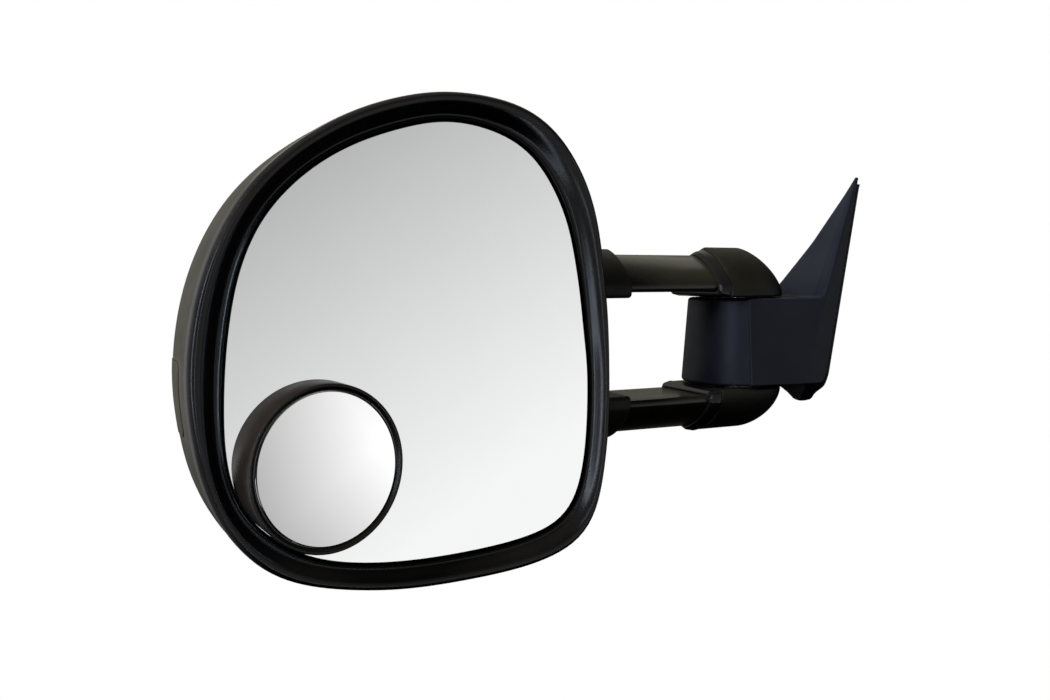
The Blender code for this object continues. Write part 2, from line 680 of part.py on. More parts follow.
def bezel_profile():
    """(share of the band, extra inset, depth) round the bezel's section: roll, cove, inner wall and back."""
    back = BEZEL_DEPTH - 6.5
    wall = -EDGE_GAP
    return ((0.0, 0.0, back), (0.0, 0.0, 4.6), (0.0, 1.2, 1.5), (0.22, 0.0, 0.0), (0.42, 0.0, 0.9),
            (0.6, 0.0, 3.4), (0.76, 0.0, 5.4), (1.0, wall, 6.6), (1.0, wall, BEZEL_DEPTH),
            (1.0, wall - 2.0, BEZEL_DEPTH), (0.7, 0.0, 7.8), (0.42, 0.0, 3.6), (0.25, 0.6, back))


def build_bezel():
    rings = [[(p.x, depth, p.y) for p in rim_outline(share, extra)]
             for share, extra, depth in bezel_profile()]
    finish("front_bezel", loft(rings, True), "satin_black", bpy.data.objects["head_datum"])


def plate_rings(extra, levels):
    """Rings of the glass opening's outline, moved in by extra, at each level."""
    return [[(p.x, level, p.y) for p in rim_outline(1.0, extra)] for level in levels]


def build_mounting_frame():
    """Pressed plate across both sleeves that carries the actuator."""
    slide = bpy.data.objects["slide_axis"]
    front, back = FRAME_FRONT, FRAME_FRONT + FRAME_THICK
    frame = box((-384.0, front, -64.0), (-252.0, back, 60.0))
    cut(frame, box((-350.0, -50.0, -16.0), (-318.0, -20.0, 22.0)),
        box((-372.0, -50.0, 42.0), (-268.0, -20.0, 53.0)),
        box((-372.0, -50.0, -57.0), (-268.0, -20.0, -46.0)))
    for index, (x, z) in enumerate(FRAME_SCREWS):
        cut(frame, rod(1.8, -45.0, -25.0, 14, (x, 0.0, z), (0.0, 1.0, 0.0)))
        screw("frame_screw_%d" % (index + 1), 3.4, 2.2, 1.5, 9.0, (x, back + GAP, z), (0.0, -1.0, 0.0), slide)
    return finish("mounting_frame", frame, "steel", slide)


def build_actuator():
    head = bpy.data.objects["head_datum"]
    housing = prism(ACTUATOR_OUTLINE, ACTUATOR_FRONT, ACTUATOR_BACK - 2.1, "y")
    inner = [(u - math.copysign(ACTUATOR_WALL, u), v - math.copysign(ACTUATOR_WALL, v))
             for u, v in ACTUATOR_OUTLINE]
    cut(housing, prism(inner, ACTUATOR_FRONT + 1.6, 50.0, "y"))
    for low, high in ((YOKE_INNER, YOKE_OUTER), (-YOKE_OUTER, -YOKE_INNER)):
        join(housing, box((low, 15.9, -3.0), (high, ACTUATOR_FRONT + 0.5, 3.0)))
    cut(housing, rod(PIN_RADIUS + RUNNING_GAP, -20.0, 20.0, 16, (0.0, TILT_CENTRE_Y, 0.0), (1.0, 0.0, 0.0)))
    for place in ((0.0, -LEVER), (LEVER, 0.0)):
        cut(housing, rod(7.4, 10.0, ACTUATOR_FRONT + 3.0, 24, (place[0], 0.0, place[1]), (0.0, 1.0, 0.0)))
    finish("actuator_housing", housing, "inner_plastic", head)
    cover = prism(ACTUATOR_OUTLINE, ACTUATOR_BACK - 1.8, ACTUATOR_BACK, "y")
    to_head = (Matrix.Translation(HEAD_CENTRE) @ Matrix.Rotation(HEAD_YAW, 4, "Z")).inverted()
    for x, z in FRAME_SCREWS:
        boss = rod(4.0, -60.0, FRAME_FRONT - GAP, 16, (x, 0.0, z), (0.0, 1.0, 0.0))
        boss.data.transform(to_head)
        cut(boss, box((-90.0, -20.0, -90.0), (90.0, ACTUATOR_BACK - 1.0, 90.0)))
        join(cover, boss)
    for x, z in FRAME_SCREWS:
        hole = rod(1.8, FRAME_FRONT - 8.0, FRAME_FRONT + 5.0, 14, (x, 0.0, z), (0.0, 1.0, 0.0))
        hole.data.transform(to_head)
        cut(cover, hole)
    finish("actuator_cover", cover, "inner_plastic", head)
    build_drive("vertical", (0.0, -1.0), (1.0, 0.0))
    build_drive("horizontal", (1.0, 0.0), (0.0, 1.0))


def build_drive(name, out, along):
    """One motor with its worm, worm wheel and screw plunger; out and along lie in the glass's plane."""
    head = bpy.data.objects["head_datum"]

    def place(reach, run, depth=0.0):
        return (out[0] * reach + along[0] * run, depth, out[1] * reach + along[1] * run)

    direction = (along[0], 0.0, along[1])
    plunger_axis = make_empty(name + "_plunger_axis", place(LEVER, 0.0, TILT_CENTRE_Y), head)
    profile = [(0.9, -3.28)]
    for step in range(1, 5):
        turn = math.radians(-75.0 + 33.0 * step)
        profile.append((3.4 * math.cos(turn), 3.4 * math.sin(turn)))
    profile += [(2.2, 4.0), (2.5, 5.0), (2.5, 12.2), (1.8, 12.8)]
    plunger = turned(profile, 14, (0.0, 0.0, 0.0), (0.0, 1.0, 0.0))
    finish(name + "_plunger", plunger, "natural_plastic", plunger_axis)

    outline = []
    root = GEAR_RADIUS - 1.1
    for tooth in range(GEAR_TEETH):
        for share, radius in ((0.0, root), (0.3, GEAR_RADIUS), (0.55, GEAR_RADIUS), (0.85, root)):
            turn = 2.0 * math.pi * (tooth + share) / GEAR_TEETH
            outline.append((radius * math.cos(turn), radius * math.sin(turn)))
    wheel = prism(outline, -2.6, 2.6, "y")
    cut(wheel, rod(2.5 + RUNNING_GAP, -5.0, 5.0, 20, (0.0, 0.0, 0.0), (0.0, 1.0, 0.0)))
    wheel_axis = make_empty(name + "_wheel_axis", place(LEVER, 0.0, DRIVE_Y), head)
    finish(name + "_worm_wheel", wheel, "natural_plastic", wheel_axis)

    worm_axis = make_empty(name + "_worm_axis", place(WORM_OFFSET, 0.0, DRIVE_Y), head)
    finish(name + "_worm", worm_solid(direction), "brass", worm_axis)
    start = WORM_LENGTH / 2.0 + 1.5
    profile = ((1.2, start - 1.2), (1.2, start), (MOTOR_RADIUS - 0.8, start), (MOTOR_RADIUS, start + 0.8),
               (MOTOR_RADIUS, start + MOTOR_LENGTH - 0.8), (MOTOR_RADIUS - 0.8, start + MOTOR_LENGTH))
    finish(name + "_motor", turned(profile, 16, place(WORM_OFFSET, 0.0, DRIVE_Y), direction), "steel", head)


def worm_solid(direction, sides=10, rings_each=3):
    """Worm: the radius follows the helix angle along the axis."""
    count = int(WORM_LENGTH / WORM_PITCH * WORM_STARTS * rings_each)
    rings = []
    for index in range(count + 1):
        height = WORM_LENGTH * (index / count - 0.5)
        ring = []
        for side in range(sides):
            turn = 2.0 * math.pi * side / sides
            wave = math.cos(WORM_STARTS * (turn - 2.0 * math.pi * height / WORM_PITCH))
            radius = WORM_RADIUS - 0.45 + 0.45 * wave
            ring.append((radius * math.cos(turn), radius * math.sin(turn), height))
        rings.append(ring)
    item = loft(rings)
    turn = Vector((0.0, 0.0, 1.0)).rotation_difference(Vector(direction)).to_matrix().to_4x4()
    item.data.transform(turn)
    return item


def build_cross():
    """Cross that lets the glass tilt both ways: one pair of pins in the actuator, one in the carrier."""
    centre = bpy.data.objects["tilt_centre"]
    cross = box((-5.0, -1.8, -5.0), (5.0, 1.8, 5.0))
    cross = soften(cross, 1.2, 1)
    reach = YOKE_OUTER - 0.2
    join(cross, rod(PIN_RADIUS, -reach, reach, 16, (0.0, 0.0, 0.0), (1.0, 0.0, 0.0)),
         rod(PIN_RADIUS, -reach, reach, 16))
    finish("tilt_cross", cross, "natural_plastic", centre)


def build_glass():
    """Carrier, heater pad and glass, drawn about the tilting centre."""
    centre = bpy.data.objects["tilt_centre"]
    back = GLASS_DEPTH + GLASS_THICK - TILT_CENTRE_Y
    face = GLASS_DEPTH - TILT_CENTRE_Y
    glass = plate_rings(1.2, (face,)) + plate_rings(0.6, (face + 0.6, back))
    finish("main_glass", loft(glass), "mirror", centre)
    pad_front = back + GAP
    pad_back = pad_front + PAD_THICK
    finish("heater_pad", loft(plate_rings(CARRIER_INSET + 2.0, (pad_front, pad_back))), "heater_film", centre)
    front = pad_back + GAP
    carrier_back = front + CARRIER_THICK
    carrier = loft(plate_rings(CARRIER_INSET, (front, carrier_back)))
    for low, high in ((YOKE_INNER, YOKE_OUTER), (-YOKE_OUTER, -YOKE_INNER)):
        join(carrier, box((-3.0, front + 1.0, low), (3.0, 2.3, high)))
    for place in ((0.0, -LEVER), (LEVER, 0.0)):
        join(carrier, rod(6.0, front + 1.0, 1.6, 24, (place[0], 0.0, place[1]), (0.0, 1.0, 0.0)))
        cut(carrier, rod(4.2, carrier_back, 5.0, 24, (place[0], 0.0, place[1]), (0.0, 1.0, 0.0)))
    cut(carrier, rod(PIN_RADIUS + RUNNING_GAP, -20.0, 20.0, 16))
    finish("glass_carrier", carrier, "inner_plastic", centre)


def build_spot():
    """Blind spot mirror: a wedge that turns on a disc stuck to the glass; thick side outboard."""
    axis = bpy.data.objects["spot_axis"]
    away = (0.0, -1.0, 0.0)
    base = tube(SPOT_BASE_RADIUS, 8.0, GAP, SPOT_BASE_THICK, 32, (0.0, 0.0, 0.0), away)
    finish("spot_base", base, "inner_plastic", axis)
    slope = (Matrix.Rotation(SPOT_TURN, 4, "Y") @ Matrix.Translation((0.0, -SPOT_HEIGHT, 0.0))
             @ Matrix.Rotation(SPOT_TILT, 4, "Z"))
    wedge = tube(SPOT_RADIUS, SPOT_BASE_RADIUS + GAP, GAP, 50.0, SPOT_STEPS, (0.0, 0.0, 0.0), away)
    top = box((-80.0, -80.0, -80.0), (80.0, 0.0, 80.0))
    top.data.transform(slope)
    cut(wedge, top)
    wedge = soften(wedge, 0.8, 1, 60.0)
    floor = rod(SPOT_RADIUS - 3.0, SPOT_BASE_THICK + GAP, 40.0, SPOT_STEPS, (0.0, 0.0, 0.0), away)
    trim = box((-80.0, -80.0, -80.0), (80.0, 4.6, 80.0))
    trim.data.transform(slope)
    cut(floor, trim)
    join(wedge, floor)
    seat = rod(SPOT_GLASS_RADIUS + GAP, -4.0, 10.0, SPOT_STEPS, (0.0, 0.0, 0.0), away)
    seat.data.transform(slope)
    cut(wedge, seat)
    finish("spot_housing", wedge, "satin_black", axis)
    profile = ((SPOT_GLASS_RADIUS, -3.0 + GAP), (SPOT_GLASS_RADIUS, -0.9), (SPOT_GLASS_RADIUS - 0.9, -0.3),
               (SPOT_GLASS_RADIUS * 0.66, 0.5), (SPOT_GLASS_RADIUS * 0.33, 0.85))
    glass = turned(profile, SPOT_STEPS, (0.0, 0.0, 0.0), away)
    glass.data.transform(slope)
    finish("spot_glass", glass, "mirror", axis)


def build_frames():
    """Empties on the joint axes."""
    make_empty("fold_axis", (FOLD_X, 0.0, 0.0))
    make_empty("slide_axis", (0.0, 0.0, 0.0))
    head = make_empty("head_datum", HEAD_CENTRE, None, HEAD_YAW)
    make_empty("tilt_centre", (0.0, TILT_CENTRE_Y, 0.0), head)
    make_empty("spot_axis", (SPOT_CENTRE[0], GLASS_DEPTH, SPOT_CENTRE[1]), head)


def build():
    clear_scene()
    build_frames()
    build_base_cover()
    build_hub_cover()
    build_base_casting()
    build_door_seals()
    build_studs()
    build_pivot()
    for side, up in (("upper", 1.0), ("lower", -1.0)):
        build_elbow(side, up)
        build_arm(side, up)
        build_sleeve(side, up)
    build_shell()
    build_insert()
    build_bezel()
    build_mounting_frame()
    build_actuator()
    build_cross()
    build_glass()
    build_spot()
    bpy.context.view_layer.update()


build()
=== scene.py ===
"""Looks of the extendable car side mirror: fine surfaces, materials, studio and camera round the
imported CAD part.

World axes are the part's: +X inboard, +Y to the front of the vehicle, +Z up. Shapes are drawn in
millimetres and are turned into metres when a piece is finished. Head pieces use the head's frame:
x along the glass, y into the head, z up, with y = 0 on the crest of the bezel.
"""

import json
import math

import bmesh
import bpy
import numpy as np
from mathutils import Matrix, Vector


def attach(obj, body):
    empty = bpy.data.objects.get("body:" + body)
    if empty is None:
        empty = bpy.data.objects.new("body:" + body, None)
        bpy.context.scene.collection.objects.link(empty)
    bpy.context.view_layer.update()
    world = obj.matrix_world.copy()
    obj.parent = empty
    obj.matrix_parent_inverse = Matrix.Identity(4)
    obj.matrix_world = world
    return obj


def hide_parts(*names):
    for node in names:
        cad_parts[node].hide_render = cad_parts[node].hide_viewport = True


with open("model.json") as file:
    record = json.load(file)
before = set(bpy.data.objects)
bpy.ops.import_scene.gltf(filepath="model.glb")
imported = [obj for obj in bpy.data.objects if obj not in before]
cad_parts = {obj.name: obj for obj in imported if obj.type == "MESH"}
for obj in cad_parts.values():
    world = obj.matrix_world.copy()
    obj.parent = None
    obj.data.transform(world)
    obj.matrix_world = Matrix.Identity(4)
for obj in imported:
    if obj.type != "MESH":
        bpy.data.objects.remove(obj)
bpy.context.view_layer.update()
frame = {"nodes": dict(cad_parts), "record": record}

MM = 0.001
GAP = 0.3
OVERRUN = 5.0  # how far a cutter runs past the solid it cuts
UP = Vector((0.0, 0.0, 1.0))

# ---------------------------------------------------------------- dimensions, as in the CAD part
HEAD_CENTRE = (-339.6, -80.1, 10.6)
HEAD_YAW = math.radians(7.0)
RIM_POINTS = ((132, -29), (128.5, 30), (115, 93), (79, 135), (23, 144.4), (-28, 133.5),
              (-69, 112), (-99, 85), (-119, 51), (-130, 12), (-132, -31), (-121, -82),
              (-91, -121), (-37, -139), (22, -144.2), (84, -141), (118, -124), (130, -76))
GLASS_POINTS = ((118.5, -30), (115, 4), (109.5, 42), (98, 82), (70, 117), (23, 129), (-22, 119),
                (-59, 101), (-87.5, 75), (-103.5, 45), (-111.5, 8), (-114.5, -32), (-113, -63),
                (-103.5, -89), (-76, -113), (-40, -124.5), (10, -129), (70, -126.5),
                (103, -115), (115.5, -82))
OUTLINE_STEPS = 192
CURVE_SMOOTHING = 10
GLASS_DEPTH = 7.0
GLASS_THICK = 3.0
EDGE_GAP = 2.4
BEZEL_DEPTH = 15.0
SHELL_START = 9.0
SHELL_DEPTH = 120.0
SHELL_WALL = 2.8
SHELL_POWER = 3.2
SHELL_MIDDLE = (20.0, -20.0)
INSERT_CENTRE = (-128.6, 42.0, -26.0)
INSERT_YAW = math.radians(-6.0)
INSERT_HALF = (17.0, 20.0)
INSERT_CORNER = 5.0
MID_Z = -0.6
ARM_HALF = 30.0
ARM_FLAT = 38.2
ARM_CROWN = 65.2
ARM_SIDE = 4.0
ARM_WALL = 2.6
ARM_OUTER_X = -282.0
ARM_INNER_X = -76.0
ARM_CORNER = 3.5
ARM_POWER = 1.4
SLEEVE_OFFSET = 1.9
SLEEVE_WALL = 2.0
SLEEVE_END_X = -174.5
SLEEVE_DEEP_X = -296.0
FOLD_X = -60.0
ELBOW_MOUTH_X = {"upper": -90.0, "lower": -97.0}
ELBOW_HALF = 35.5
ELBOW_FLAT = {"upper": 33.9, "lower": 34.6}
ELBOW_CROWN = {"upper": 71.5, "lower": 68.6}
ELBOW_POWER = {"upper": 1.5, "lower": 1.7}
ELBOW_SIDE = 2.3
COLLAR_REACH = 9.5
COLLAR_SEAT = 8.0
COLLAR_FIT = 2.4
SHAFT_TOP = 60.5
NUT_POCKET_RADIUS = 16.0
NUT_POCKET_BOTTOM = -61.3
HUB_TOP = 32.4
HUB_BOTTOM = -33.0
HUB_TOP_RADIUS = 36.0
HUB_BOTTOM_RADIUS = 40.5
SEAM_X = -73.5
COVER_WALL = 3.0
CASTING_HUB_RADIUS = 27.0
SHAFT_RADIUS = 10.0
LEAN_ANGLE = math.radians(10.0)
LEAN = math.tan(LEAN_ANGLE)
MOUNT_NORMAL = (math.cos(LEAN_ANGLE), 0.0, -math.sin(LEAN_ANGLE))
SAIL_OUTLINE = ((-46, 127), (-39, 113), (-16, 76), (10, 43), (38, 12), (60, -14), (62, -30),
                (50, -36), (-10, -37.5), (-17.5, -42.5), (-22, -48), (-31, -48.3), (-34.5, -42.5),
                (-43.5, -36), (-46, -27))
SAIL_TOP_THICK = 5.5
SAIL_THICKEN = 0.14
SAIL_APEX_Z = 128.0
SAIL_CORNER = 5.0
FOLD_VOXEL = 0.85
FOLD_ROUNDS = 6
FOOT_TRIM = ((-80, -32), (-27, -32), (-17, -50), (-17, -60), (-80, -60))
BLOCK_REAR = 45.7
BLOCK_FRONT = 49.0
POCKET_OUTLINE = ((-41, -28), (51, -27), (34, 12), (7, 41), (-19, 73), (-36, 100), (-41, 100))
GASKET_THICK = 2.5
SEAL_TOP = 119.0
SEAL_REAR = -45.4
SEAL_TAPER = 0.50
SEAL_TIP_Z = 100.0
PLATE_THICK = 8.0
STUD_HEAD_THICK = 3.3
STUD_RADIUS = 3.0
STUD_LENGTH = 10.0
THREAD_PITCH = 1.0
THREAD_DEPTH = 0.34
STUD_PLACES = {"stud_upper": (-22, 52), "stud_front": (36, -16), "stud_rear": (-30, -14)}
WIRE_HOLE = (14, -8)
CABLE_RADIUS = 3.0
CABLE_RIDGE = 0.28
CABLE_RIDGE_PITCH = 1.5
CABLE_START = -7.0
CABLE_STEP = 0.25
CABLE_STEPS = 116
SPRING_START = -53.4
SPRING_HEIGHT = 12.4
SPRING_TURNS = 3.5
SPRING_RADIUS = 12.4
SPRING_WIRE = 1.1
SPRING_STEPS = 150
PIN_OUT_X = -79.0
PIN_RISE = 44.0
PIN_HOLE = 2.3
SPOT_CENTRE = (-66.3, -61.6)
SPOT_RADIUS = 44.6
SPOT_GLASS_RADIUS = 40.8
SPOT_TILT = math.radians(10.3)
SPOT_TURN = math.radians(-19.5)
SPOT_HEIGHT = 26.5
SPOT_BASE_RADIUS = 34.0
SPOT_BASE_THICK = 2.2
SPOT_DOME = 0.85
# Direction, in the round glass's frame, towards which its painted reflection gradient brightens
PAINTED_REFLECTION_DIRECTION = (0.95, 0.0, 0.316)

TO_HEAD = Matrix.Translation(HEAD_CENTRE) @ Matrix.Rotation(HEAD_YAW, 4, "Z")
TO_SPOT = TO_HEAD @ Matrix.Translation((SPOT_CENTRE[0], GLASS_DEPTH, SPOT_CENTRE[1]))
TO_FOLD = Matrix.Translation((FOLD_X, 0.0, 0.0))
SPOT_SLOPE = (Matrix.Rotation(SPOT_TURN, 4, "Y") @ Matrix.Translation((0.0, -SPOT_HEIGHT, 0.0))
              @ Matrix.Rotation(SPOT_TILT, 4, "Z"))
TO_SPOT_GLASS = TO_SPOT @ SPOT_SLOPE
SPOT_GLASS_CENTRE = TO_SPOT_GLASS.to_translation() * MM
SPOT_FADE = (TO_SPOT_GLASS.to_3x3() @ Vector(PAINTED_REFLECTION_DIRECTION)).normalized()


# ---------------------------------------------------------------- materials

DUST = (0.30, 0.28, 0.24)
COPPER = (0.62, 0.28, 0.14)
SILVER = (0.87, 0.872, 0.875)
# Dim and bright ends of the painted reflection gradient in the round mirror's colour
DIM_PAINTED_REFLECTION = (0.465, 0.465, 0.465)
BRIGHT_PAINTED_REFLECTION = (0.99, 0.99, 0.99)


def link(tree, source, target):
    tree.links.new(source, target)


def noise(tree, coords, scale, detail=2.0, roughness=0.5, stretch=None):
    """Noise in object coordinates; scale is features per metre and stretch lengthens them."""
    if stretch:
        mapping = tree.nodes.new("ShaderNodeMapping")
        mapping.inputs["Scale"].default_value = stretch
        link(tree, coords, mapping.inputs["Vector"])
        coords = mapping.outputs["Vector"]
    node = tree.nodes.new("ShaderNodeTexNoise")
    node.inputs["Scale"].default_value = scale
    node.inputs["Detail"].default_value = detail
    node.inputs["Roughness"].default_value = roughness
    link(tree, coords, node.inputs["Vector"])
    return node.outputs["Fac"]


def spread(tree, value, low, high, from_low=0.35, from_high=0.65):
    """Map a noise value onto a range."""
    node = tree.nodes.new("ShaderNodeMapRange")
    node.inputs["From Min"].default_value = from_low
    node.inputs["From Max"].default_value = from_high
    node.inputs["To Min"].default_value = low
    node.inputs["To Max"].default_value = high
    link(tree, value, node.inputs["Value"])
    return node.outputs["Result"]


def mix_colour(tree, factor, first, second):
    node = tree.nodes.new("ShaderNodeMix")
    node.data_type = "RGBA"
    link(tree, factor, node.inputs[0])
    for socket, value in ((node.inputs[6], first), (node.inputs[7], second)):
        if isinstance(value, tuple):
            socket.default_value = (*value, 1.0)
        else:
            link(tree, value, socket)
    return node.outputs[2]


def make_material(name, colour, roughness, metallic=0.0, grain=0.0, grain_scale=900.0,
                  blotch=0.12, spots=0.06, wear=0.0, stretch=None, specular=0.5, dust=0.0):
    """Moulded, coated or machined surface: uneven colour and gloss, fine relief, rubbed edges
    and dust."""
    material = bpy.data.materials.new(name)
    material.use_nodes = True
    tree = material.node_tree
    shader = tree.nodes["Principled BSDF"]
    coords = tree.nodes.new("ShaderNodeTexCoord").outputs["Object"]
    cloud = spread(tree, noise(tree, coords, 34.0, 3.0), 0.0, 1.0)
    darker = tuple(channel * (1.0 - blotch) for channel in colour)
    lighter = tuple(min(1.0, channel * (1.0 + blotch) + 0.001) for channel in colour)
    base = mix_colour(tree, cloud, darker, lighter)
    if wear:
        pointiness = tree.nodes.new("ShaderNodeNewGeometry").outputs["Pointiness"]
        edge = spread(tree, pointiness, 0.0, wear, 0.515, 0.58)
        rubbed = tuple(min(1.0, channel * 1.6 + 0.02) for channel in colour)
        base = mix_colour(tree, edge, base, rubbed)
    if dust:
        split = tree.nodes.new("ShaderNodeSeparateXYZ")
        link(tree, tree.nodes.new("ShaderNodeNewGeometry").outputs["Normal"], split.inputs[0])
        upward = spread(tree, split.outputs["Z"], 0.0, 1.0, 0.3, 1.0)
        speckle = spread(tree, noise(tree, coords, 260.0, 4.0, 0.7), 0.0, dust, 0.45, 0.75)
        product = tree.nodes.new("ShaderNodeMath")
        product.operation = "MULTIPLY"
        link(tree, upward, product.inputs[0])
        link(tree, speckle, product.inputs[1])
        base = mix_colour(tree, product.outputs[0], base, DUST)
    link(tree, base, shader.inputs["Base Color"])
    patches = noise(tree, coords, 70.0, 4.0, 0.6, stretch)
    gloss = spread(tree, patches, roughness - spots, roughness + spots)
    link(tree, gloss, shader.inputs["Roughness"])
    shader.inputs["Metallic"].default_value = metallic
    shader.inputs["Specular IOR Level"].default_value = specular
    if grain:
        height = noise(tree, coords, grain_scale, 3.0, 0.6, stretch)
        bump = tree.nodes.new("ShaderNodeBump")
        bump.inputs["Strength"].default_value = grain
        bump.inputs["Distance"].default_value = 0.4 / grain_scale
        link(tree, height, bump.inputs["Height"])
        link(tree, bump.outputs["Normal"], shader.inputs["Normal"])
    material.diffuse_color = (*colour, 1.0)
    return material


def heater_material():
    """Amber film with printed copper tracks running back and forth."""
    material = make_material("heater_film", (0.42, 0.20, 0.05), 0.4, grain=0.1, grain_scale=600.0)
    tree = material.node_tree
    shader = tree.nodes["Principled BSDF"]
    base = shader.inputs["Base Color"].links[0].from_socket
    coords = tree.nodes.new("ShaderNodeTexCoord").outputs["Object"]
    wave = tree.nodes.new("ShaderNodeTexWave")
    wave.bands_direction = "Z"
    wave.inputs["Scale"].default_value = 40.0
    link(tree, coords, wave.inputs["Vector"])
    track = spread(tree, wave.outputs["Fac"], 0.0, 1.0, 0.72, 0.80)
    link(tree, mix_colour(tree, track, base, COPPER), shader.inputs["Base Color"])
    link(tree, track, shader.inputs["Metallic"])
    return material


def mirror_material(name="mirror", centre=None, along=None):
    """Silvered glass with a faint tint. With a centre, a painted reflection gradient darkens its
    colour towards the side opposite along.
    """
    material = make_material(name, SILVER, 0.012, metallic=1.0, blotch=0.004, spots=0.010)
    if centre:
        tree = material.node_tree
        shader = tree.nodes["Principled BSDF"]
        local = tree.nodes.new("ShaderNodeVectorMath")
        local.operation = "SUBTRACT"
        link(tree, tree.nodes.new("ShaderNodeTexCoord").outputs["Object"], local.inputs[0])
        local.inputs[1].default_value = centre
        slant = tree.nodes.new("ShaderNodeVectorMath")
        slant.operation = "DOT_PRODUCT"
        link(tree, local.outputs["Vector"], slant.inputs[0])
        slant.inputs[1].default_value = along
        # Painted reflection: the colour runs from dim on the side opposite along to bright towards
        # along.
        reach = SPOT_GLASS_RADIUS * MM
        share = spread(tree, slant.outputs["Value"], 0.0, 1.0, -reach, 0.75 * reach)
        painted_reflection = mix_colour(tree, share, DIM_PAINTED_REFLECTION, BRIGHT_PAINTED_REFLECTION)
        link(tree, painted_reflection, shader.inputs["Base Color"])
    return material


MATERIALS = {
    "satin_black": make_material(
        "satin_black", (0.0042, 0.0040, 0.0046), 0.24, grain=0.025, grain_scale=1500.0,
        blotch=0.10, spots=0.02, specular=0.20),
    "grained_black": make_material(
        "grained_black", (0.0125, 0.0122, 0.0096), 0.52, grain=0.30, grain_scale=1300.0,
        blotch=0.06, spots=0.04, wear=0.30, specular=0.13, dust=0.015),
    # The elbows' plastic is the shell's grained plastic, with its colour darkened to under half:
    # painted shade.
    "elbow_shaded_black": make_material(
        "elbow_shaded_black", (0.0052, 0.0052, 0.0040), 0.50, grain=0.30, grain_scale=1300.0,
        blotch=0.14, spots=0.05, wear=0.30, specular=0.10, dust=0.010),
    "base_black": make_material(
        "base_black", (0.0032, 0.0040, 0.0086), 0.44, grain=0.26, grain_scale=1300.0,
        blotch=0.08, spots=0.05, wear=0.30, specular=0.14, dust=0.006),
    "arm_black": make_material(
        "arm_black", (0.0100, 0.0098, 0.0074), 0.24, grain=0.07, grain_scale=1700.0,
        blotch=0.10, spots=0.05, wear=0.30, stretch=(0.12, 1.0, 1.0), specular=0.24),
    "spot_black": make_material(
        "spot_black", (0.0044, 0.0034, 0.0034), 0.30, grain=0.06, grain_scale=1500.0,
        blotch=0.15, spots=0.04, wear=0.25, specular=0.18),
    "inner_plastic": make_material(
        "inner_plastic", (0.035, 0.036, 0.038), 0.52, grain=0.22, grain_scale=1000.0,
        blotch=0.12, spots=0.06, wear=0.30, specular=0.35),
    "natural_plastic": make_material(
        "natural_plastic", (0.74, 0.72, 0.66), 0.42, grain=0.10, grain_scale=800.0,
        blotch=0.05, spots=0.06),
    "rubber": make_material(
        "rubber", (0.014, 0.014, 0.014), 0.78, grain=0.35, grain_scale=700.0,
        blotch=0.20, spots=0.08, wear=0.2, specular=0.25, dust=0.05),
    "cast_aluminium": make_material(
        "cast_aluminium", (0.50, 0.51, 0.52), 0.46, metallic=1.0, grain=0.55, grain_scale=650.0,
        blotch=0.14, spots=0.08, wear=0.2),
    "steel": make_material(
        "steel", (0.50, 0.51, 0.53), 0.30, metallic=1.0, grain=0.15, grain_scale=1200.0,
        blotch=0.12, spots=0.08, wear=0.25, stretch=(1.0, 1.0, 0.2)),
    "brass": make_material(
        "brass", (0.70, 0.50, 0.22), 0.30, metallic=1.0, grain=0.12, grain_scale=1200.0,
        blotch=0.10, spots=0.08, wear=0.2),
    "heater_film": heater_material(),
    "mirror": mirror_material(),
    "convex_mirror": mirror_material("convex_mirror", SPOT_GLASS_CENTRE, SPOT_FADE),
    "glass_edge": make_material(
        "glass_edge", (0.05, 0.075, 0.070), 0.25, grain=0.2, blotch=0.2, spots=0.08),
}
RENAMED_SLOTS = {"textured_black": "grained_black"}
NODE_SLOTS = {row["node"]: row["material_slot"] for row in frame["record"]["subparts"]}


# ---------------------------------------------------------------- solids, in millimetres

def to_object(bm):
    bmesh.ops.remove_doubles(bm, verts=bm.verts, dist=1e-4)
    bmesh.ops.recalc_face_normals(bm, faces=bm.faces)
    mesh = bpy.data.meshes.new("working")
    bm.to_mesh(mesh)
    bm.free()
    item = bpy.data.objects.new("working", mesh)
    bpy.context.scene.collection.objects.link(item)
    return item


def apply_modifiers(item):
    graph = bpy.context.evaluated_depsgraph_get()
    mesh = bpy.data.meshes.new_from_object(item.evaluated_get(graph))
    item.modifiers.clear()
    item.data = mesh


def combine(item, other, operation):
    modifier = item.modifiers.new(operation.lower(), "BOOLEAN")
    modifier.operation = operation
    modifier.solver = "EXACT"
    modifier.object = other
    apply_modifiers(item)
    bpy.data.objects.remove(other, do_unlink=True)


def cut(item, *cutters):
    for cutter in cutters:
        combine(item, cutter, "DIFFERENCE")


def join(item, other):
    combine(item, other, "UNION")


def soften(item, width, segments=3, angle=40.0):
    modifier = item.modifiers.new("soft_edges", "BEVEL")
    modifier.width = width
    modifier.segments = segments
    modifier.limit_method = "ANGLE"
    modifier.angle_limit = math.radians(angle)
    modifier.use_clamp_overlap = True
    apply_modifiers(item)
    return item


def melt(item, voxel, rounds):
    """Rebuild a solid as an even mesh and relax it, which rounds its folds like a moulding's."""
    remesh = item.modifiers.new("even_mesh", "REMESH")
    remesh.mode = "VOXEL"
    remesh.voxel_size = voxel
    relax = item.modifiers.new("relaxed", "SMOOTH")
    relax.factor = 0.5
    relax.iterations = rounds
    apply_modifiers(item)


def finish(name, item, body, look, nodes=(), smooth=38.0, matrix=None):
    """Turn a working solid into a shown piece that rides on a CAD body and stands for CAD nodes."""
    if matrix is not None:
        item.data.transform(matrix)
    item.data.transform(Matrix.Scale(MM, 4))
    item.name = name
    item.data.name = name
    item.data.materials.clear()
    item.data.materials.append(MATERIALS[look])
    item.data.shade_smooth()
    item.data.set_sharp_from_angle(angle=math.radians(smooth))
    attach(item, body)
    if nodes:
        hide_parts(*nodes)
    return item


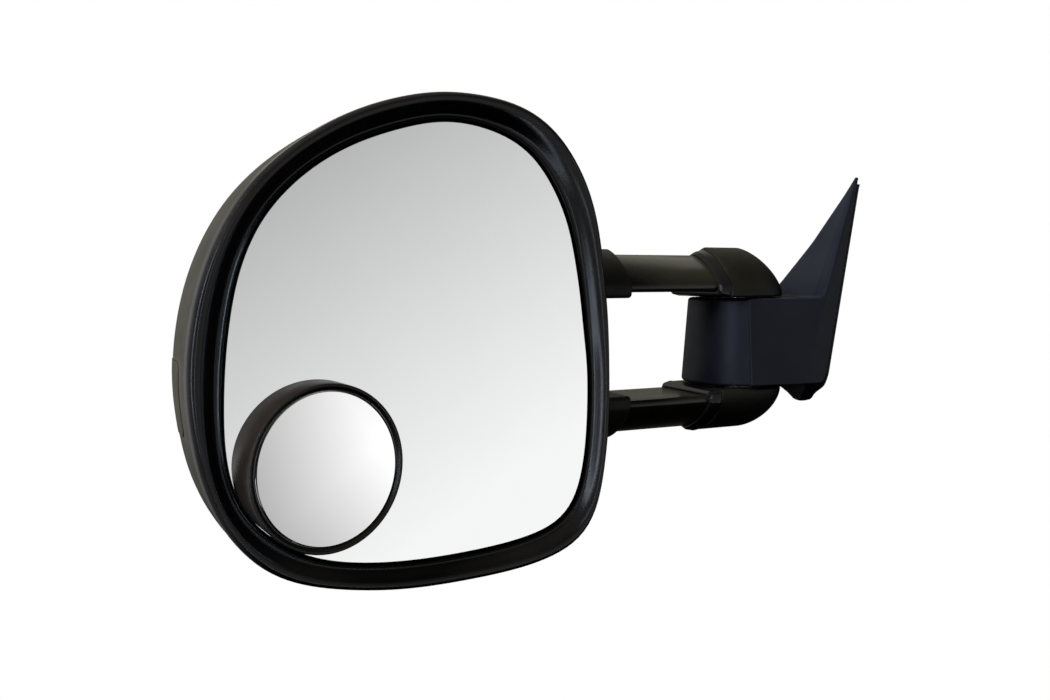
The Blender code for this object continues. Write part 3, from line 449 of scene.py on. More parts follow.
def loft(rings, ring_closed=False):
    bm = bmesh.new()
    rows = [[bm.verts.new(point) for point in ring] for ring in rings]
    pairs = list(zip(rows, rows[1:]))
    if ring_closed:
        pairs.append((rows[-1], rows[0]))
    for low, high in pairs:
        for index in range(len(low)):
            after = (index + 1) % len(low)
            bm.faces.new((low[index], low[after], high[after], high[index]))
    if not ring_closed:
        bm.faces.new(rows[0])
        bm.faces.new(list(reversed(rows[-1])))
    return to_object(bm)


def prism(outline, start, end, axis="x"):
    place = {
        "x": lambda a, b, c: (c, a, b),
        "y": lambda a, b, c: (a, c, b),
        "z": lambda a, b, c: (a, b, c),
    }[axis]
    return loft([[place(a, b, c) for a, b in outline] for c in (start, end)])


def box(low, high):
    outline = ((low[0], low[1]), (high[0], low[1]), (high[0], high[1]), (low[0], high[1]))
    return prism(outline, low[2], high[2], "z")


def aim(direction):
    """Rotation that turns +Z to a direction."""
    return UP.rotation_difference(Vector(direction)).to_matrix().to_4x4()


def full_turn(steps):
    return [2.0 * math.pi * step / steps for step in range(steps)]


def circle_ring(radius, height, steps=28):
    return [(radius * math.cos(t), radius * math.sin(t), height) for t in full_turn(steps)]


def turned(profile, steps=64, centre=(0.0, 0.0, 0.0), direction=(0.0, 0.0, 1.0)):
    ring_closed = profile[0] == profile[-1]
    points = profile[:-1] if ring_closed else profile
    item = loft([circle_ring(radius, height, steps) for radius, height in points], ring_closed)
    item.data.transform(Matrix.Translation(centre) @ aim(direction))
    return item


def rod(radius, start, end, steps=48, centre=(0.0, 0.0, 0.0), direction=(0.0, 0.0, 1.0)):
    return turned(((radius, start), (radius, end)), steps, centre, direction)


def rounded(points, width, segments=4):
    """Open profile with each corner but its two ends rounded off by a quadratic arc."""
    result = [points[0]]
    for before, here, after in zip(points, points[1:], points[2:]):
        here = Vector(here)
        back = Vector(before) - here
        ahead = Vector(after) - here
        reach = min(width, back.length * 0.45, ahead.length * 0.45)
        start = here + back.normalized() * reach
        end = here + ahead.normalized() * reach
        for step in range(segments + 1):
            t = step / segments
            result.append(tuple(start * (1 - t) ** 2 + here * 2 * t * (1 - t) + end * t * t))
    result.append(points[-1])
    return result


# ---------------------------------------------------------------- outlines

def spline(points, closed=True, parts=16):
    """Catmull-Rom curve through 2-D or 3-D points."""
    points = [Vector(point) for point in points]
    count = len(points)
    fine = []
    for index in range(count if closed else count - 1):
        near = [index + shift for shift in (-1, 0, 1, 2)]
        if closed:
            p0, p1, p2, p3 = [points[place % count] for place in near]
        else:
            p0, p1, p2, p3 = [points[min(max(place, 0), count - 1)] for place in near]
        for part in range(parts):
            t = part / parts
            fine.append(0.5 * (2.0 * p1 + (p2 - p0) * t
                               + (2.0 * p0 - 5.0 * p1 + 4.0 * p2 - p3) * t ** 2
                               + (3.0 * p1 - p0 - 3.0 * p2 + p3) * t ** 3))
    if not closed:
        fine.append(points[-1])
    return fine


def closed_curve(points, steps):
    """Smooth closed curve sampled at even angles about the origin, its curvature evened out."""
    fine = spline(points)
    turns = np.unwrap([math.atan2(point.y, point.x) for point in fine])
    radii = [point.length for point in fine]
    angles = 2.0 * math.pi * np.arange(steps) / steps
    values = np.interp(angles, turns, radii, period=2.0 * math.pi)
    for _ in range(CURVE_SMOOTHING):
        values = 0.5 * values + 0.25 * (np.roll(values, 1) + np.roll(values, -1))
    return [Vector((r * math.cos(a), r * math.sin(a))) for r, a in zip(values, angles)]


def inset(outline, amount):
    """Move each point of an anticlockwise outline inwards, by one number or one per point."""
    moved = []
    for index, point in enumerate(outline):
        along = outline[(index + 1) % len(outline)] - outline[index - 1]
        normal = Vector((along.y, -along.x)).normalized()
        step = amount[index] if isinstance(amount, list) else amount
        moved.append(point - normal * step)
    return moved


RIM = closed_curve(RIM_POINTS, OUTLINE_STEPS)
OPENING = closed_curve(GLASS_POINTS, OUTLINE_STEPS)


def rim_outline(share, extra):
    """Outline a share of the way from the rim to the opening, then moved inwards by extra."""
    return inset([outer.lerp(inner, share) for outer, inner in zip(RIM, OPENING)], extra)


def head_rings(levels):
    """Rings in the head's frame from (share, extra inset, depth) rows."""
    return [[(p.x, depth, p.y) for p in rim_outline(share, extra)]
            for share, extra, depth in levels]


def d_section(offset, half, flat, side, crown, up, corner=ARM_CORNER, power=ARM_POWER):
    """Section of an arm or elbow: a flat with rounded corners, two short sides, arched crown."""
    corner = min(corner, side + offset - 0.2)
    half, flat, crown = half + offset, flat - offset, crown + offset
    steps = 56
    turns = [math.radians(15.0 * step) for step in range(7)]
    points = [(-half + corner - corner * math.sin(t), flat + corner - corner * math.cos(t))
              for t in turns]
    shoulder = flat + side + offset
    for step in range(1, steps):
        turn = math.pi * step / steps
        reach = abs(math.cos(turn)) ** (2.0 / power) * math.copysign(1.0, math.cos(turn))
        rise = math.sin(turn) ** (2.0 / power)
        points.append((-half * reach, shoulder + (crown - shoulder) * rise))
    points += [(half - corner + corner * math.sin(t), flat + corner - corner * math.cos(t))
               for t in turns[::-1]]
    return [(y, MID_Z + up * z) for y, z in points]


def arm_section(offset, up):
    return d_section(offset, ARM_HALF, ARM_FLAT, ARM_SIDE, ARM_CROWN, up)


def mount_x(z):
    """X of the leaning door face at a height."""
    return z * LEAN


def mount_point(y, z):
    return (mount_x(z), y, z)


# ---------------------------------------------------------------- door base

def sail_outline(shrink):
    outline = [Vector(point) for point in reversed(SAIL_OUTLINE)]
    return inset(round_corners(outline, SAIL_CORNER, 5), shrink)


def round_corners(outline, radius, segments):
    """Replace each corner of a closed outline by a short quadratic arc."""
    result = []
    count = len(outline)
    for index in range(count):
        here = outline[index]
        back = outline[index - 1] - here
        ahead = outline[(index + 1) % count] - here
        reach = min(radius, back.length * 0.42, ahead.length * 0.42)
        start = here + back.normalized() * reach
        end = here + ahead.normalized() * reach
        for step in range(segments + 1):
            t = step / segments
            result.append(start * (1 - t) ** 2 + here * (2 * t * (1 - t)) + end * t * t)
    return result


def sail_thickness(z):
    return SAIL_TOP_THICK + (SAIL_APEX_Z - z) * SAIL_THICKEN


def sail_solid():
    """Wedge whose outer edge is rolled over, with a smaller radius near its tip."""
    outline = sail_outline(0.0)
    inner_gap = GASKET_THICK + GAP
    rings = [[(mount_x(p.y) - inner_gap, p.x, p.y) for p in outline]]
    roll = [min(4.2, 0.4 + 0.055 * (SAIL_APEX_Z - p.y)) for p in outline]
    for step in range(7):
        turn = math.radians(90.0 * step / 6.0)
        moved = inset(outline, [r * (1.0 - math.cos(turn)) for r in roll])
        ring = []
        for p, q, r in zip(outline, moved, roll):
            depth = sail_thickness(p.y) - r + r * math.sin(turn)
            ring.append((mount_x(p.y) - depth, q.x, q.y))
        rings.append(ring)
    return loft(rings)


def pocket_solid():
    """Hollow behind the sail that takes the casting's plate."""
    outline = [Vector(point) for point in POCKET_OUTLINE]
    inner = [(mount_x(z) + 5.0, y, z) for y, z in outline]
    outer = [(mount_x(z) - sail_thickness(z) + COVER_WALL, y, z) for y, z in outline]
    return loft([inner, outer])


def hub_radius(z):
    share = (HUB_TOP - z) / (HUB_TOP - HUB_BOTTOM)
    return HUB_TOP_RADIUS + (HUB_BOTTOM_RADIUS - HUB_TOP_RADIUS) * share


def block_solid(shrink, low, high, outer_x, depth):
    """Block between the sail and the hub; its sides meet the hub where the seam crosses it."""
    rings = []
    for z in (low, high):
        side = math.sqrt(hub_radius(z) ** 2 - (SEAM_X - FOLD_X) ** 2) - shrink
        rear = -BLOCK_REAR + shrink
        front = BLOCK_FRONT - shrink
        edge_x = mount_x(z) - sail_thickness(z) + 2.5
        inner_x = mount_x(z) - depth
        rings.append([(outer_x, -side, z), (edge_x, rear, z), (inner_x, rear, z),
                      (inner_x, front, z), (outer_x, side, z)])
    return loft(rings)


def hub_barrel(shrink, low, high):
    profile = ((hub_radius(low) - shrink, low), (hub_radius(high) - shrink, high))
    return turned(profile, 160, (FOLD_X, 0.0, 0.0))


def hub_hole(radius):
    return rod(radius, HUB_BOTTOM - OVERRUN, HUB_TOP + OVERRUN, 96, (FOLD_X, 0.0, 0.0))


def build_base_cover():
    """Sail and block in one moulding, hollow behind, with folds as soft as the photo's."""
    cover = sail_solid()
    cut(cover, prism(FOOT_TRIM, -60.0, 80.0, "y"))
    join(cover, block_solid(0.0, HUB_BOTTOM, HUB_TOP, SEAM_X, 6.0))
    cover = soften(cover, 1.8, 4, 32.0)
    low, high = HUB_BOTTOM + COVER_WALL, HUB_TOP - COVER_WALL
    cut(cover, block_solid(COVER_WALL, low, high, SEAM_X - 5.0, 12.5),
        pocket_solid(), hub_hole(CASTING_HUB_RADIUS + 1.0),
        rod(ELBOW_HALF + 2.0, HUB_BOTTOM - 30.0, HUB_BOTTOM - GAP, 96, (FOLD_X, 0.0, 0.0)))
    melt(cover, FOLD_VOXEL, FOLD_ROUNDS)
    finish("base_cover_skin", cover, "door_base", "base_black", ("base_cover",), 180.0)


def build_hub_cover():
    """Barrel-shaped part of the cover, up to the parting line."""
    cover = soften(hub_barrel(0.0, HUB_BOTTOM, HUB_TOP), 2.5, 5, 50.0)
    cut(cover, hub_barrel(COVER_WALL, HUB_BOTTOM + COVER_WALL, HUB_TOP - COVER_WALL),
        hub_hole(CASTING_HUB_RADIUS + 1.0),
        box((SEAM_X - GAP, -60.0, HUB_BOTTOM - OVERRUN),
            (FOLD_X + 60.0, 60.0, HUB_TOP + OVERRUN)))
    finish("hub_cover_skin", cover, "door_base", "base_black", ("hub_cover",))


def build_gasket():
    """Rubber seal with two soft lips against the door, held inside the sail's narrow tip."""
    section = ((0.6, GASKET_THICK), (0.5, 1.2), (0.9, 0.2), (1.5, 0.0), (2.1, 0.25), (2.6, 0.7),
               (3.1, 0.25), (3.7, 0.0), (4.3, 0.2), (4.7, 1.2), (4.6, GASKET_THICK))
    rings = []
    for shrink, back in section:
        ring = []
        for point in sail_outline(shrink):
            y, z = point.x, min(point.y, SEAL_TOP)
            if z > SEAL_TIP_Z:
                y = min(max(y, SEAL_REAR), SEAL_REAR + (SAIL_APEX_Z - z) * SEAL_TAPER)
            ring.append((mount_x(z) - back, y, z))
        rings.append(ring)
    finish("door_gasket_lips", loft(rings, True), "door_base", "rubber", ("door_gasket",))


def threaded(radius, start, end, pitch, depth, steps=28, per_turn=10):
    """Rings of a threaded shank between two heights."""
    rings = []
    count = int((end - start) / pitch * per_turn)
    for index in range(count + 1):
        height = start + (end - start) * index / count
        fade = min(1.0, index / per_turn, (count - index) / per_turn)
        ring = []
        for turn in full_turn(steps):
            phase = (height / pitch - turn / (2.0 * math.pi)) % 1.0
            cutting = depth * (1.0 - abs(2.0 * phase - 1.0)) * (0.35 + 0.65 * fade)
            left = radius - cutting
            ring.append((left * math.cos(turn), left * math.sin(turn), height))
        rings.append(ring)
    return rings


def build_studs():
    """Studs with their heads behind the casting's plate and threads through the door."""
    head = -PLATE_THICK - STUD_HEAD_THICK
    head_profile = ((4.2, head), (5.0, head + 0.7), (5.0, head + 2.8), (3.0, head + 3.0))
    for name, (y, z) in STUD_PLACES.items():
        rings = [circle_ring(radius, height) for radius, height in head_profile]
        rings += threaded(STUD_RADIUS, head + 3.2, STUD_LENGTH - 1.2, THREAD_PITCH, THREAD_DEPTH)
        rings.append(circle_ring(STUD_RADIUS - 1.0, STUD_LENGTH))
        finish(name + "_threaded", loft(rings), "door_base", "steel", (name,),
               matrix=Matrix.Translation(mount_point(y, z)) @ aim(MOUNT_NORMAL))


def build_wiring():
    """Grommet in the door face, ribbed conduit and a plug with a catch on each side."""
    place = mount_point(*WIRE_HOLE)
    to_door = Matrix.Translation(place) @ aim(MOUNT_NORMAL)
    profile = rounded(((3.6, -4.0), (7.6, -4.0), (7.6, 2.8), (6.4, 4.4), (3.6, 4.4)), 0.8)
    profile.append(profile[0])
    finish("wiring_grommet_boot", turned(profile, 56, place, MOUNT_NORMAL), "door_base", "rubber",
           ("wiring_grommet",))
    rings = []
    for index in range(CABLE_STEPS + 1):
        height = CABLE_START + CABLE_STEP * index
        ridge = CABLE_RIDGE * math.cos(2.0 * math.pi * height / CABLE_RIDGE_PITCH)
        rings.append(circle_ring(CABLE_RADIUS + ridge, height, 24))
    finish("harness_conduit", loft(rings), "door_base", "rubber", ("harness_cable",),
           matrix=to_door)
    plug = soften(box((-5.0, -9.0, 22.4), (5.0, 9.0, 42.0)), 1.2, 3)
    cut(plug, box((-3.6, -7.4, 30.0), (3.6, 7.4, 44.0)))
    for middle in (-4.6, 4.6):
        join(plug, soften(box((middle - 0.9, -2.2, 26.0), (middle + 0.9, 2.2, 39.0)), 0.4, 2))
    finish("harness_plug_shell", plug, "door_base", "inner_plastic", ("harness_plug",),
           matrix=to_door)


def build_spring():
    """Detent spring: a helix of round wire about the fold axis."""
    rings = []
    for index in range(SPRING_STEPS + 1):
        share = index / SPRING_STEPS
        turn = 2.0 * math.pi * SPRING_TURNS * share
        out = Vector((math.cos(turn), math.sin(turn), 0.0))
        middle = out * SPRING_RADIUS + UP * (SPRING_START + SPRING_HEIGHT * share)
        rings.append([middle + SPRING_WIRE * (math.cos(t) * out + math.sin(t) * UP)
                      for t in full_turn(14)])
    finish("detent_spring_wire", loft(rings), "arm_assembly", "steel", ("detent_spring",),
           matrix=TO_FOLD)


# ---------------------------------------------------------------- elbows and arms

def elbow_solid(side, up):
    """The section run straight from the mouth to the fold axis and swept half a turn round it."""
    section = d_section(0.0, ELBOW_HALF, ELBOW_FLAT[side], ELBOW_SIDE, ELBOW_CROWN[side], up, 2.0,
                        ELBOW_POWER[side])
    crown = len(section) // 2
    steps = 48
    bm = bmesh.new()
    mouth = [bm.verts.new((ELBOW_MOUTH_X[side] - FOLD_X, y, z)) for y, z in section]
    rows = []
    for step in range(steps + 1):
        turn = math.pi * (step / steps - 0.5)
        across, along = math.cos(turn), math.sin(turn)
        rows.append([bm.verts.new((-y * across, -y * along, z)) for y, z in section[:crown + 1]])
    rows = [mouth[:crown + 1]] + rows + [mouth[:crown - 1:-1]]
    for low, high in zip(rows, rows[1:]):
        for index in range(crown):
            bm.faces.new((low[index], low[index + 1], high[index + 1], high[index]))
    bm.faces.new(mouth)
    bm.faces.new([row[0] for row in rows])
    return to_object(bm)


def build_elbow(side, up):
    """Elbow with an arm's socket, a collar's seat, a cross pin's hole and a bore for the pivot."""
    elbow = soften(elbow_solid(side, up), 1.1, 4, 50.0)
    mouth = ELBOW_MOUTH_X[side] - FOLD_X
    arm_in = ARM_INNER_X - FOLD_X + GAP
    cut(elbow, prism(arm_section(COLLAR_FIT, up), mouth - OVERRUN, mouth + COLLAR_SEAT),
        prism(arm_section(GAP, up), mouth - 4.0, arm_in))
    if up > 0:
        cut(elbow, rod(SHAFT_RADIUS + GAP, 20.0, SHAFT_TOP))
    else:
        cut(elbow, rod(NUT_POCKET_RADIUS, NUT_POCKET_BOTTOM, -20.0))
    pin_centre = (PIN_OUT_X - FOLD_X, 0.0, MID_Z + up * PIN_RISE)
    cut(elbow, rod(PIN_HOLE, -30.0, 30.0, 24, pin_centre, (0.0, 1.0, 0.0)))
    finish(side + "_elbow_skin", elbow, "arm_assembly", "elbow_shaded_black", (side + "_elbow",),
           matrix=TO_FOLD)


def build_arm(side, up):
    """Hollow arm and the collar that closes the gap round it in the elbow's mouth."""
    start = ARM_OUTER_X - FOLD_X
    end = ARM_INNER_X - FOLD_X
    arm = prism(arm_section(0.0, up), start, end)
    cut(arm, prism(arm_section(-ARM_WALL, up), start - OVERRUN, end + OVERRUN))
    arm = soften(arm, 0.35, 2, 60.0)
    finish(side + "_arm_tube", arm, "arm_assembly", "arm_black", (side + "_arm",), matrix=TO_FOLD)

    mouth = ELBOW_MOUTH_X[side] - FOLD_X
    levels = rounded(((-COLLAR_REACH, 0.5), (-COLLAR_REACH, 1.3), (1.8 - COLLAR_REACH, 3.0),
                      (-1.4, 4.3), (-GAP, 4.3), (-GAP, 2.1), (7.5, 2.1), (7.5, 0.35)), 0.7)
    rings = [[(mouth + x, y, z) for y, z in arm_section(offset, up)] for x, offset in levels]
    finish(side + "_arm_collar_skin", loft(rings, True), "arm_assembly", "satin_black",
           (side + "_arm_collar",), matrix=TO_FOLD)


def build_sleeve(side, up):
    outer = SLEEVE_OFFSET + SLEEVE_WALL
    sleeve = prism(arm_section(outer, up), SLEEVE_DEEP_X, SLEEVE_END_X)
    sleeve = soften(sleeve, 1.6, 4, 60.0)
    cut(sleeve, prism(arm_section(SLEEVE_OFFSET, up), SLEEVE_DEEP_X - OVERRUN,
                      SLEEVE_END_X + OVERRUN))
    finish(side + "_sleeve_skin", sleeve, "head", "grained_black", (side + "_sleeve",))


# ---------------------------------------------------------------- mirror head

def shell_levels(wall, count):
    """(scale about the middle, depth) rows of the shell's face from its rim to the middle of its
    back."""
    full = SHELL_DEPTH - wall - SHELL_START
    power = 2.0 / SHELL_POWER
    rows = []
    for index in range(count + 1):
        turn = 0.5 * math.pi * (index / count) ** 0.8 * 0.999
        rows.append((math.cos(turn) ** power, SHELL_START + full * math.sin(turn) ** power))
    return rows


def shell_rings(wall, count=44):
    outline = rim_outline(0.0, 0.6 + wall)
    cx, cz = SHELL_MIDDLE
    return [[(cx + (p.x - cx) * scale, depth, cz + (p.y - cz) * scale) for p in outline]
            for scale, depth in shell_levels(wall, count)]


def insert_prism(grow, start, end):
    """Rounded rectangle through the shell's outboard side, where the indicator blank sits."""
    half_y, half_z = [half + grow for half in INSERT_HALF]
    corner = INSERT_CORNER + grow
    outline = []
    for quarter, (sy, sz) in enumerate(((1, 1), (-1, 1), (-1, -1), (1, -1))):
        for step in range(9):
            turn = math.radians(90.0 * quarter + 90.0 * step / 8.0)
            outline.append((sy * (half_y - corner) + corner * math.cos(turn),
                            sz * (half_z - corner) + corner * math.sin(turn)))
    item = prism(outline, start, end)
    item.data.transform(Matrix.Translation(INSERT_CENTRE) @ Matrix.Rotation(INSERT_YAW, 4, "Z"))
    return item


def build_shell():
    """Head's back shell with windows for the sleeves, and the blank in its outboard side."""
    shell = loft(shell_rings(0.0)[::-1] + shell_rings(SHELL_WALL))
    shell = soften(shell, 0.8, 3, 60.0)
    for up in (1.0, -1.0):
        section = arm_section(SLEEVE_OFFSET + SLEEVE_WALL + GAP, up)
        window = prism(section, SLEEVE_DEEP_X - 1.0, -140.0)
        window.data.transform(TO_HEAD.inverted())
        cut(shell, window)
    cut(shell, insert_prism(0.45, -12.0, 12.0))
    finish("head_shell_skin", shell, "head", "grained_black", ("head_shell",), matrix=TO_HEAD)
    insert = loft(shell_rings(-0.35)[::-1] + shell_rings(2.2))
    combine(insert, insert_prism(0.0, -9.0, 9.0), "INTERSECT")
    insert = soften(insert, 0.45, 3, 50.0)
    finish("indicator_blank_skin", insert, "head", "grained_black", ("indicator_blank",),
           matrix=TO_HEAD)


def build_bezel():
    """Rolled outer rim, hollow cove and a small bead round the glass."""
    back = BEZEL_DEPTH - 6.5
    lip = -EDGE_GAP
    face = ((0.0, 0.0, 4.6), (0.0, 0.35, 2.6), (0.0, 1.5, 0.9), (0.14, 0.4, 0.12), (0.24, 0.0, 0.0),
            (0.36, 0.0, 0.55), (0.50, 0.0, 2.1), (0.64, 0.0, 4.2), (0.76, 0.0, 5.9),
            (0.84, 0.0, 6.3), (0.90, 0.0, 5.8), (0.96, 0.0, 5.4), (1.0, lip + 1.2, 5.7),
            (1.0, lip + 0.4, 6.5), (1.0, lip, 7.6))
    rows = [(0.0, 0.0, back)] + [tuple(point) for point in spline(face, False, 5)]
    rows += [(1.0, lip, BEZEL_DEPTH), (1.0, lip - 2.0, BEZEL_DEPTH), (0.7, 0.0, 8.4),
             (0.42, 0.0, 4.4), (0.25, 0.6, back)]
    finish("front_bezel_skin", loft(head_rings(rows), True), "head", "satin_black",
           ("front_bezel",), 45.0, TO_HEAD)


def build_glass():
    """Flat glass with a ground edge; everything but its front face shows dark."""
    front = GLASS_DEPTH
    back = front + GLASS_THICK
    rows = ((1.0, 1.3, front), (1.0, 0.75, front + 0.25), (1.0, 0.6, front + 0.7),
            (1.0, 0.6, back - 0.5), (1.0, 1.0, back))
    item = finish("main_glass_plate", loft(head_rings(rows)), "glass_assembly", "mirror",
                  ("main_glass",), 10.0, TO_HEAD)
    item.data.materials.append(MATERIALS["glass_edge"])
    facing = Vector((math.sin(HEAD_YAW), -math.cos(HEAD_YAW), 0.0))
    for polygon in item.data.polygons:
        if polygon.normal.dot(facing) < 0.95:
            polygon.material_index = 1


def build_spot():
    """Wedge-shaped housing with a raised lip round a slightly domed glass."""
    origin = SPOT_SLOPE.to_translation()
    normal = (SPOT_SLOPE.to_3x3() @ Vector((0.0, -1.0, 0.0))).normalized()

    def height(x, z):
        """Height over the glass of the housing's tilted top plane."""
        return -(origin.y - (normal.x * (x - origin.x) + normal.z * (z - origin.z)) / normal.y)

    radius = SPOT_RADIUS
    base = SPOT_BASE_RADIUS + GAP
    seat = SPOT_GLASS_RADIUS + 0.35
    low = ((0.0, SPOT_BASE_THICK + GAP), (base, SPOT_BASE_THICK + GAP), (base, GAP),
           (radius - 0.8, GAP), (radius - 0.2, GAP + 0.25), (radius, GAP + 0.9))
    high = ((radius, -1.5), (radius - 0.12, -0.8), (radius - 0.5, -0.22), (radius - 1.1, 0.0),
            (radius - 1.7, -0.15), (radius - 2.1, -0.5), (seat + 0.4, -1.6), (seat, -2.0),
            (seat, -3.2), (seat - 1.0, -3.3), (0.0, -3.3))
    rings = []
    for r, level in low:
        ring = circle_ring(max(r, 0.01), -level, 160)
        rings.append([(x, y, z) for x, z, y in ring])
    for r, level in high:
        ring = circle_ring(max(r, 0.01), 0.0, 160)
        rings.append([(x, -(height(x, z) + level), z) for x, z, _ in ring])
    housing = finish("spot_housing_skin", loft(rings), "spot_mirror", "spot_black",
                     ("spot_housing",), 50.0, TO_SPOT)

    edge = SPOT_GLASS_RADIUS
    profile = [(edge - 0.4, -3.0 + GAP), (edge, -2.3), (edge, -1.5), (edge - 0.5, -1.1)]
    for step in range(15, 0, -1):
        r = (edge - 0.5) * step / 15.0
        profile.append((r - 0.01, -1.08 + SPOT_DOME * (1.0 - (r / edge) ** 2)))
    glass = turned(profile, 128, (0.0, 0.0, 0.0), (0.0, -1.0, 0.0))
    glass.data.transform(SPOT_SLOPE)
    lens = finish("spot_glass_lens", glass, "spot_mirror", "convex_mirror", ("spot_glass",), 30.0,
                  TO_SPOT)
    # Glossy rays skip the round mirror, so that the main glass carries no dark image of it.
    for item in (housing, lens, frame["nodes"]["spot_base"]):
        item.visible_glossy = False


# ---------------------------------------------------------------- CAD nodes that stay

def dress_cad_nodes():
    """Every CAD node still shown gets its procedural look."""
    for name, node in frame["nodes"].items():
        if node.hide_render:
            continue
        slot = NODE_SLOTS[name]
        node.data.materials.clear()
        node.data.materials.append(MATERIALS[RENAMED_SLOTS.get(slot, slot)])


# ---------------------------------------------------------------- studio

LIT_POINT = (-0.25, 0.0, 0.0)
COOL = (0.72, 0.83, 1.0)
WARM = (1.0, 0.96, 0.80)
WHITE = (1.0, 1.0, 1.0)
# (name, place, size, radiance, colour, lights diffuse surfaces, shows in glossy ones), in metres
LIGHTS = (
    ("key", (-1.75, -0.45, 1.20), (0.8, 0.8), 75.0, WARM, True, False),
    ("back_fill", (0.20, 1.90, 0.90), (1.2, 1.2), 12.0, WHITE, True, False),
    ("back_box", (0.25, 1.25, 1.20), (2.6, 0.9), 0.6, WARM, False, True),
    ("front_strip", (-0.42, -2.20, 0.10), (0.20, 1.5), 8.0, COOL, False, True),
    ("low_strip", (-0.30, -1.80, -1.25), (1.8, 0.15), 12.0, COOL, False, True),
    ("right_strip", (1.75, -0.75, 0.20), (0.18, 1.5), 3.5, COOL, False, True),
    ("left_strip", (-1.70, -1.60, 0.20), (0.22, 1.6), 18.0, COOL, False, True),
)
# (direction, power, colour, strength) of the soft patches of the surroundings
LOBES = (
    ((0.0, 0.15, 1.0), 3.0, (1.0, 0.97, 0.84), 0.25),
    ((-0.8, 0.5, 0.1), 3.0, (0.95, 0.96, 1.0), 1.0),
    ((0.5, 0.85, 0.12), 8.0, (1.0, 0.96, 0.76), 0.20),
)
# The pale wall: brightness against direction, as fitted from the photo's two glasses
WALL_SLANT = (0.854, 0.0, -1.10)
WALL_DARK = (-0.277, 0.02)
WALL_BRIGHT = (0.753, 1.05)
WALL_BACK_EDGE = (-0.58, -0.40)
WALL_LOW_EDGE = (-0.60, -0.36)
DIFFUSE_SHARE = 0.15
FLOOR_CENTRE = (-0.25, 0.0, -0.42)
FLOOR_REACH = 12.0
CAMERA_PLACE = (-0.5068, -0.5695, 0.0502)
CAMERA_PITCH = math.radians(85.2)
CAMERA_TURN = math.radians(-25.0)
CAMERA_LENS = 30.857


def math_node(tree, operation, first, second):
    node = tree.nodes.new("ShaderNodeMath")
    node.operation = operation
    for socket, value in zip(node.inputs, (first, second)):
        if isinstance(value, float):
            socket.default_value = value
        else:
            link(tree, value, socket)
    return node.outputs[0]


def dot_node(tree, direction, facing):
    node = tree.nodes.new("ShaderNodeVectorMath")
    node.operation = "DOT_PRODUCT"
    node.inputs[1].default_value = facing
    link(tree, direction, node.inputs[0])
    return node.outputs["Value"]


def lobe(tree, direction, facing, power, colour, strength):
    """Soft patch of light in the surroundings round a direction."""
    dot = dot_node(tree, direction, Vector(facing).normalized())
    shape = math_node(tree, "POWER", math_node(tree, "MAXIMUM", dot, 0.0), power)
    scale = tree.nodes.new("ShaderNodeVectorMath")
    scale.operation = "SCALE"
    scale.inputs[0].default_value = colour
    link(tree, math_node(tree, "MULTIPLY", shape, strength), scale.inputs["Scale"])
    return scale.outputs["Vector"]


def build_world():
    """White to the camera. To the object, a dark room with a pale wall behind the camera, brighter
    to its right and lower down, which is what the two glasses show."""
    world = bpy.data.worlds.new("studio")
    bpy.context.scene.world = world
    world.use_nodes = True
    tree = world.node_tree
    tree.nodes.clear()
    output = tree.nodes.new("ShaderNodeOutputWorld")
    direction = tree.nodes.new("ShaderNodeTexCoord").outputs["Generated"]
    split = tree.nodes.new("ShaderNodeSeparateXYZ")
    link(tree, direction, split.inputs[0])
    wall = spread(tree, dot_node(tree, direction, WALL_SLANT), WALL_DARK[1], WALL_BRIGHT[1],
                  WALL_DARK[0], WALL_BRIGHT[0])
    is_diffuse = tree.nodes.new("ShaderNodeLightPath").outputs["Is Diffuse Ray"]
    for share in (spread(tree, split.outputs["Y"], 1.0, 0.0, *WALL_BACK_EDGE),
                  spread(tree, split.outputs["Z"], 0.0, 1.0, *WALL_LOW_EDGE),
                  spread(tree, is_diffuse, 1.0, DIFFUSE_SHARE, 0.0, 1.0)):
        wall = math_node(tree, "MULTIPLY", wall, share)
    grey = tree.nodes.new("ShaderNodeCombineXYZ")
    for index in range(3):
        link(tree, wall, grey.inputs[index])
    total = grey.outputs[0]
    for patch in LOBES:
        add = tree.nodes.new("ShaderNodeVectorMath")
        add.operation = "ADD"
        link(tree, total, add.inputs[0])
        link(tree, lobe(tree, direction, *patch), add.inputs[1])
        total = add.outputs[0]
    room = tree.nodes.new("ShaderNodeBackground")
    link(tree, total, room.inputs["Color"])
    white = tree.nodes.new("ShaderNodeBackground")
    white.inputs["Color"].default_value = (*WHITE, 1.0)
    choose = tree.nodes.new("ShaderNodeMixShader")
    link(tree, tree.nodes.new("ShaderNodeLightPath").outputs["Is Camera Ray"], choose.inputs[0])
    link(tree, room.outputs[0], choose.inputs[1])
    link(tree, white.outputs[0], choose.inputs[2])
    link(tree, choose.outputs[0], output.inputs["Surface"])


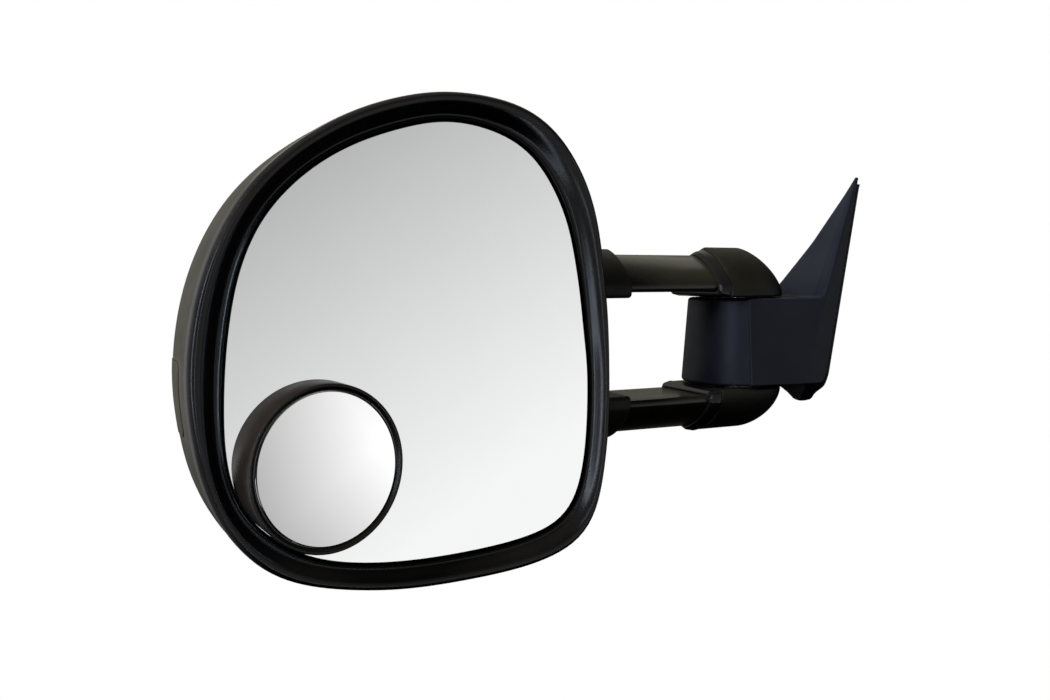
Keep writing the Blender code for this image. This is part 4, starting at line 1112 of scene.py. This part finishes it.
def build_floor():
    """White floor that blends into the surroundings, hidden from reflections and from diffuse
    rays so that it does not light the underside."""
    bm = bmesh.new()
    bmesh.ops.create_grid(bm, x_segments=1, y_segments=1, size=FLOOR_REACH)
    mesh = bpy.data.meshes.new("floor")
    bm.to_mesh(mesh)
    bm.free()
    floor = bpy.data.objects.new("floor", mesh)
    floor.location = FLOOR_CENTRE
    bpy.context.scene.collection.objects.link(floor)
    material = bpy.data.materials.new("pale_floor")
    material.use_nodes = True
    shader = material.node_tree.nodes["Principled BSDF"]
    shader.inputs["Base Color"].default_value = (0.0, 0.0, 0.0, 1.0)
    shader.inputs["Roughness"].default_value = 0.9
    shader.inputs["Specular IOR Level"].default_value = 0.0
    shader.inputs["Emission Color"].default_value = (*WHITE, 1.0)
    shader.inputs["Emission Strength"].default_value = 1.0
    floor.data.materials.append(material)
    floor.visible_glossy = False
    floor.visible_diffuse = False
    floor.visible_transmission = False


def add_light(name, place, size, radiance, colour, in_diffuse, in_gloss):
    """Rectangular softbox aimed at the middle of the part; radiance is its face's brightness."""
    data = bpy.data.lights.new(name, "AREA")
    data.shape = "RECTANGLE"
    data.size, data.size_y = size
    data.energy = math.pi * size[0] * size[1] * radiance
    data.color = colour
    item = bpy.data.objects.new(name, data)
    item.location = place
    aim_line = Vector(LIT_POINT) - Vector(place)
    item.rotation_euler = aim_line.to_track_quat("-Z", "Y").to_euler()
    bpy.context.scene.collection.objects.link(item)
    item.visible_camera = False
    item.visible_diffuse = in_diffuse
    item.visible_glossy = in_gloss
    return item


def build_camera():
    data = bpy.data.cameras.new("camera")
    data.lens = CAMERA_LENS
    data.sensor_width = 36.0
    camera = bpy.data.objects.new("camera", data)
    camera.location = CAMERA_PLACE
    camera.rotation_euler = (CAMERA_PITCH, 0.0, CAMERA_TURN)
    bpy.context.scene.collection.objects.link(camera)
    bpy.context.scene.camera = camera


def build_studio():
    """Surroundings, floor, softboxes and camera. The glasses show only the pale wall, so the
    softboxes leave them out."""
    build_world()
    build_floor()
    left_out = bpy.data.collections.new("not_lit_by_boxes")
    for name in ("main_glass_plate", "spot_glass_lens"):
        left_out.objects.link(bpy.data.objects[name])
    for entry in left_out.collection_objects:
        entry.light_linking.link_state = "EXCLUDE"
    for light in LIGHTS:
        add_light(*light).light_linking.receiver_collection = left_out
    build_camera()
    bpy.context.scene.view_settings.view_transform = "Standard"


# ---------------------------------------------------------------- everything

build_base_cover()
build_hub_cover()
build_gasket()
build_studs()
build_wiring()
build_spring()
for side, up in (("upper", 1.0), ("lower", -1.0)):
    build_elbow(side, up)
    build_arm(side, up)
    build_sleeve(side, up)
build_shell()
build_bezel()
build_glass()
build_spot()
dress_cad_nodes()
build_studio()
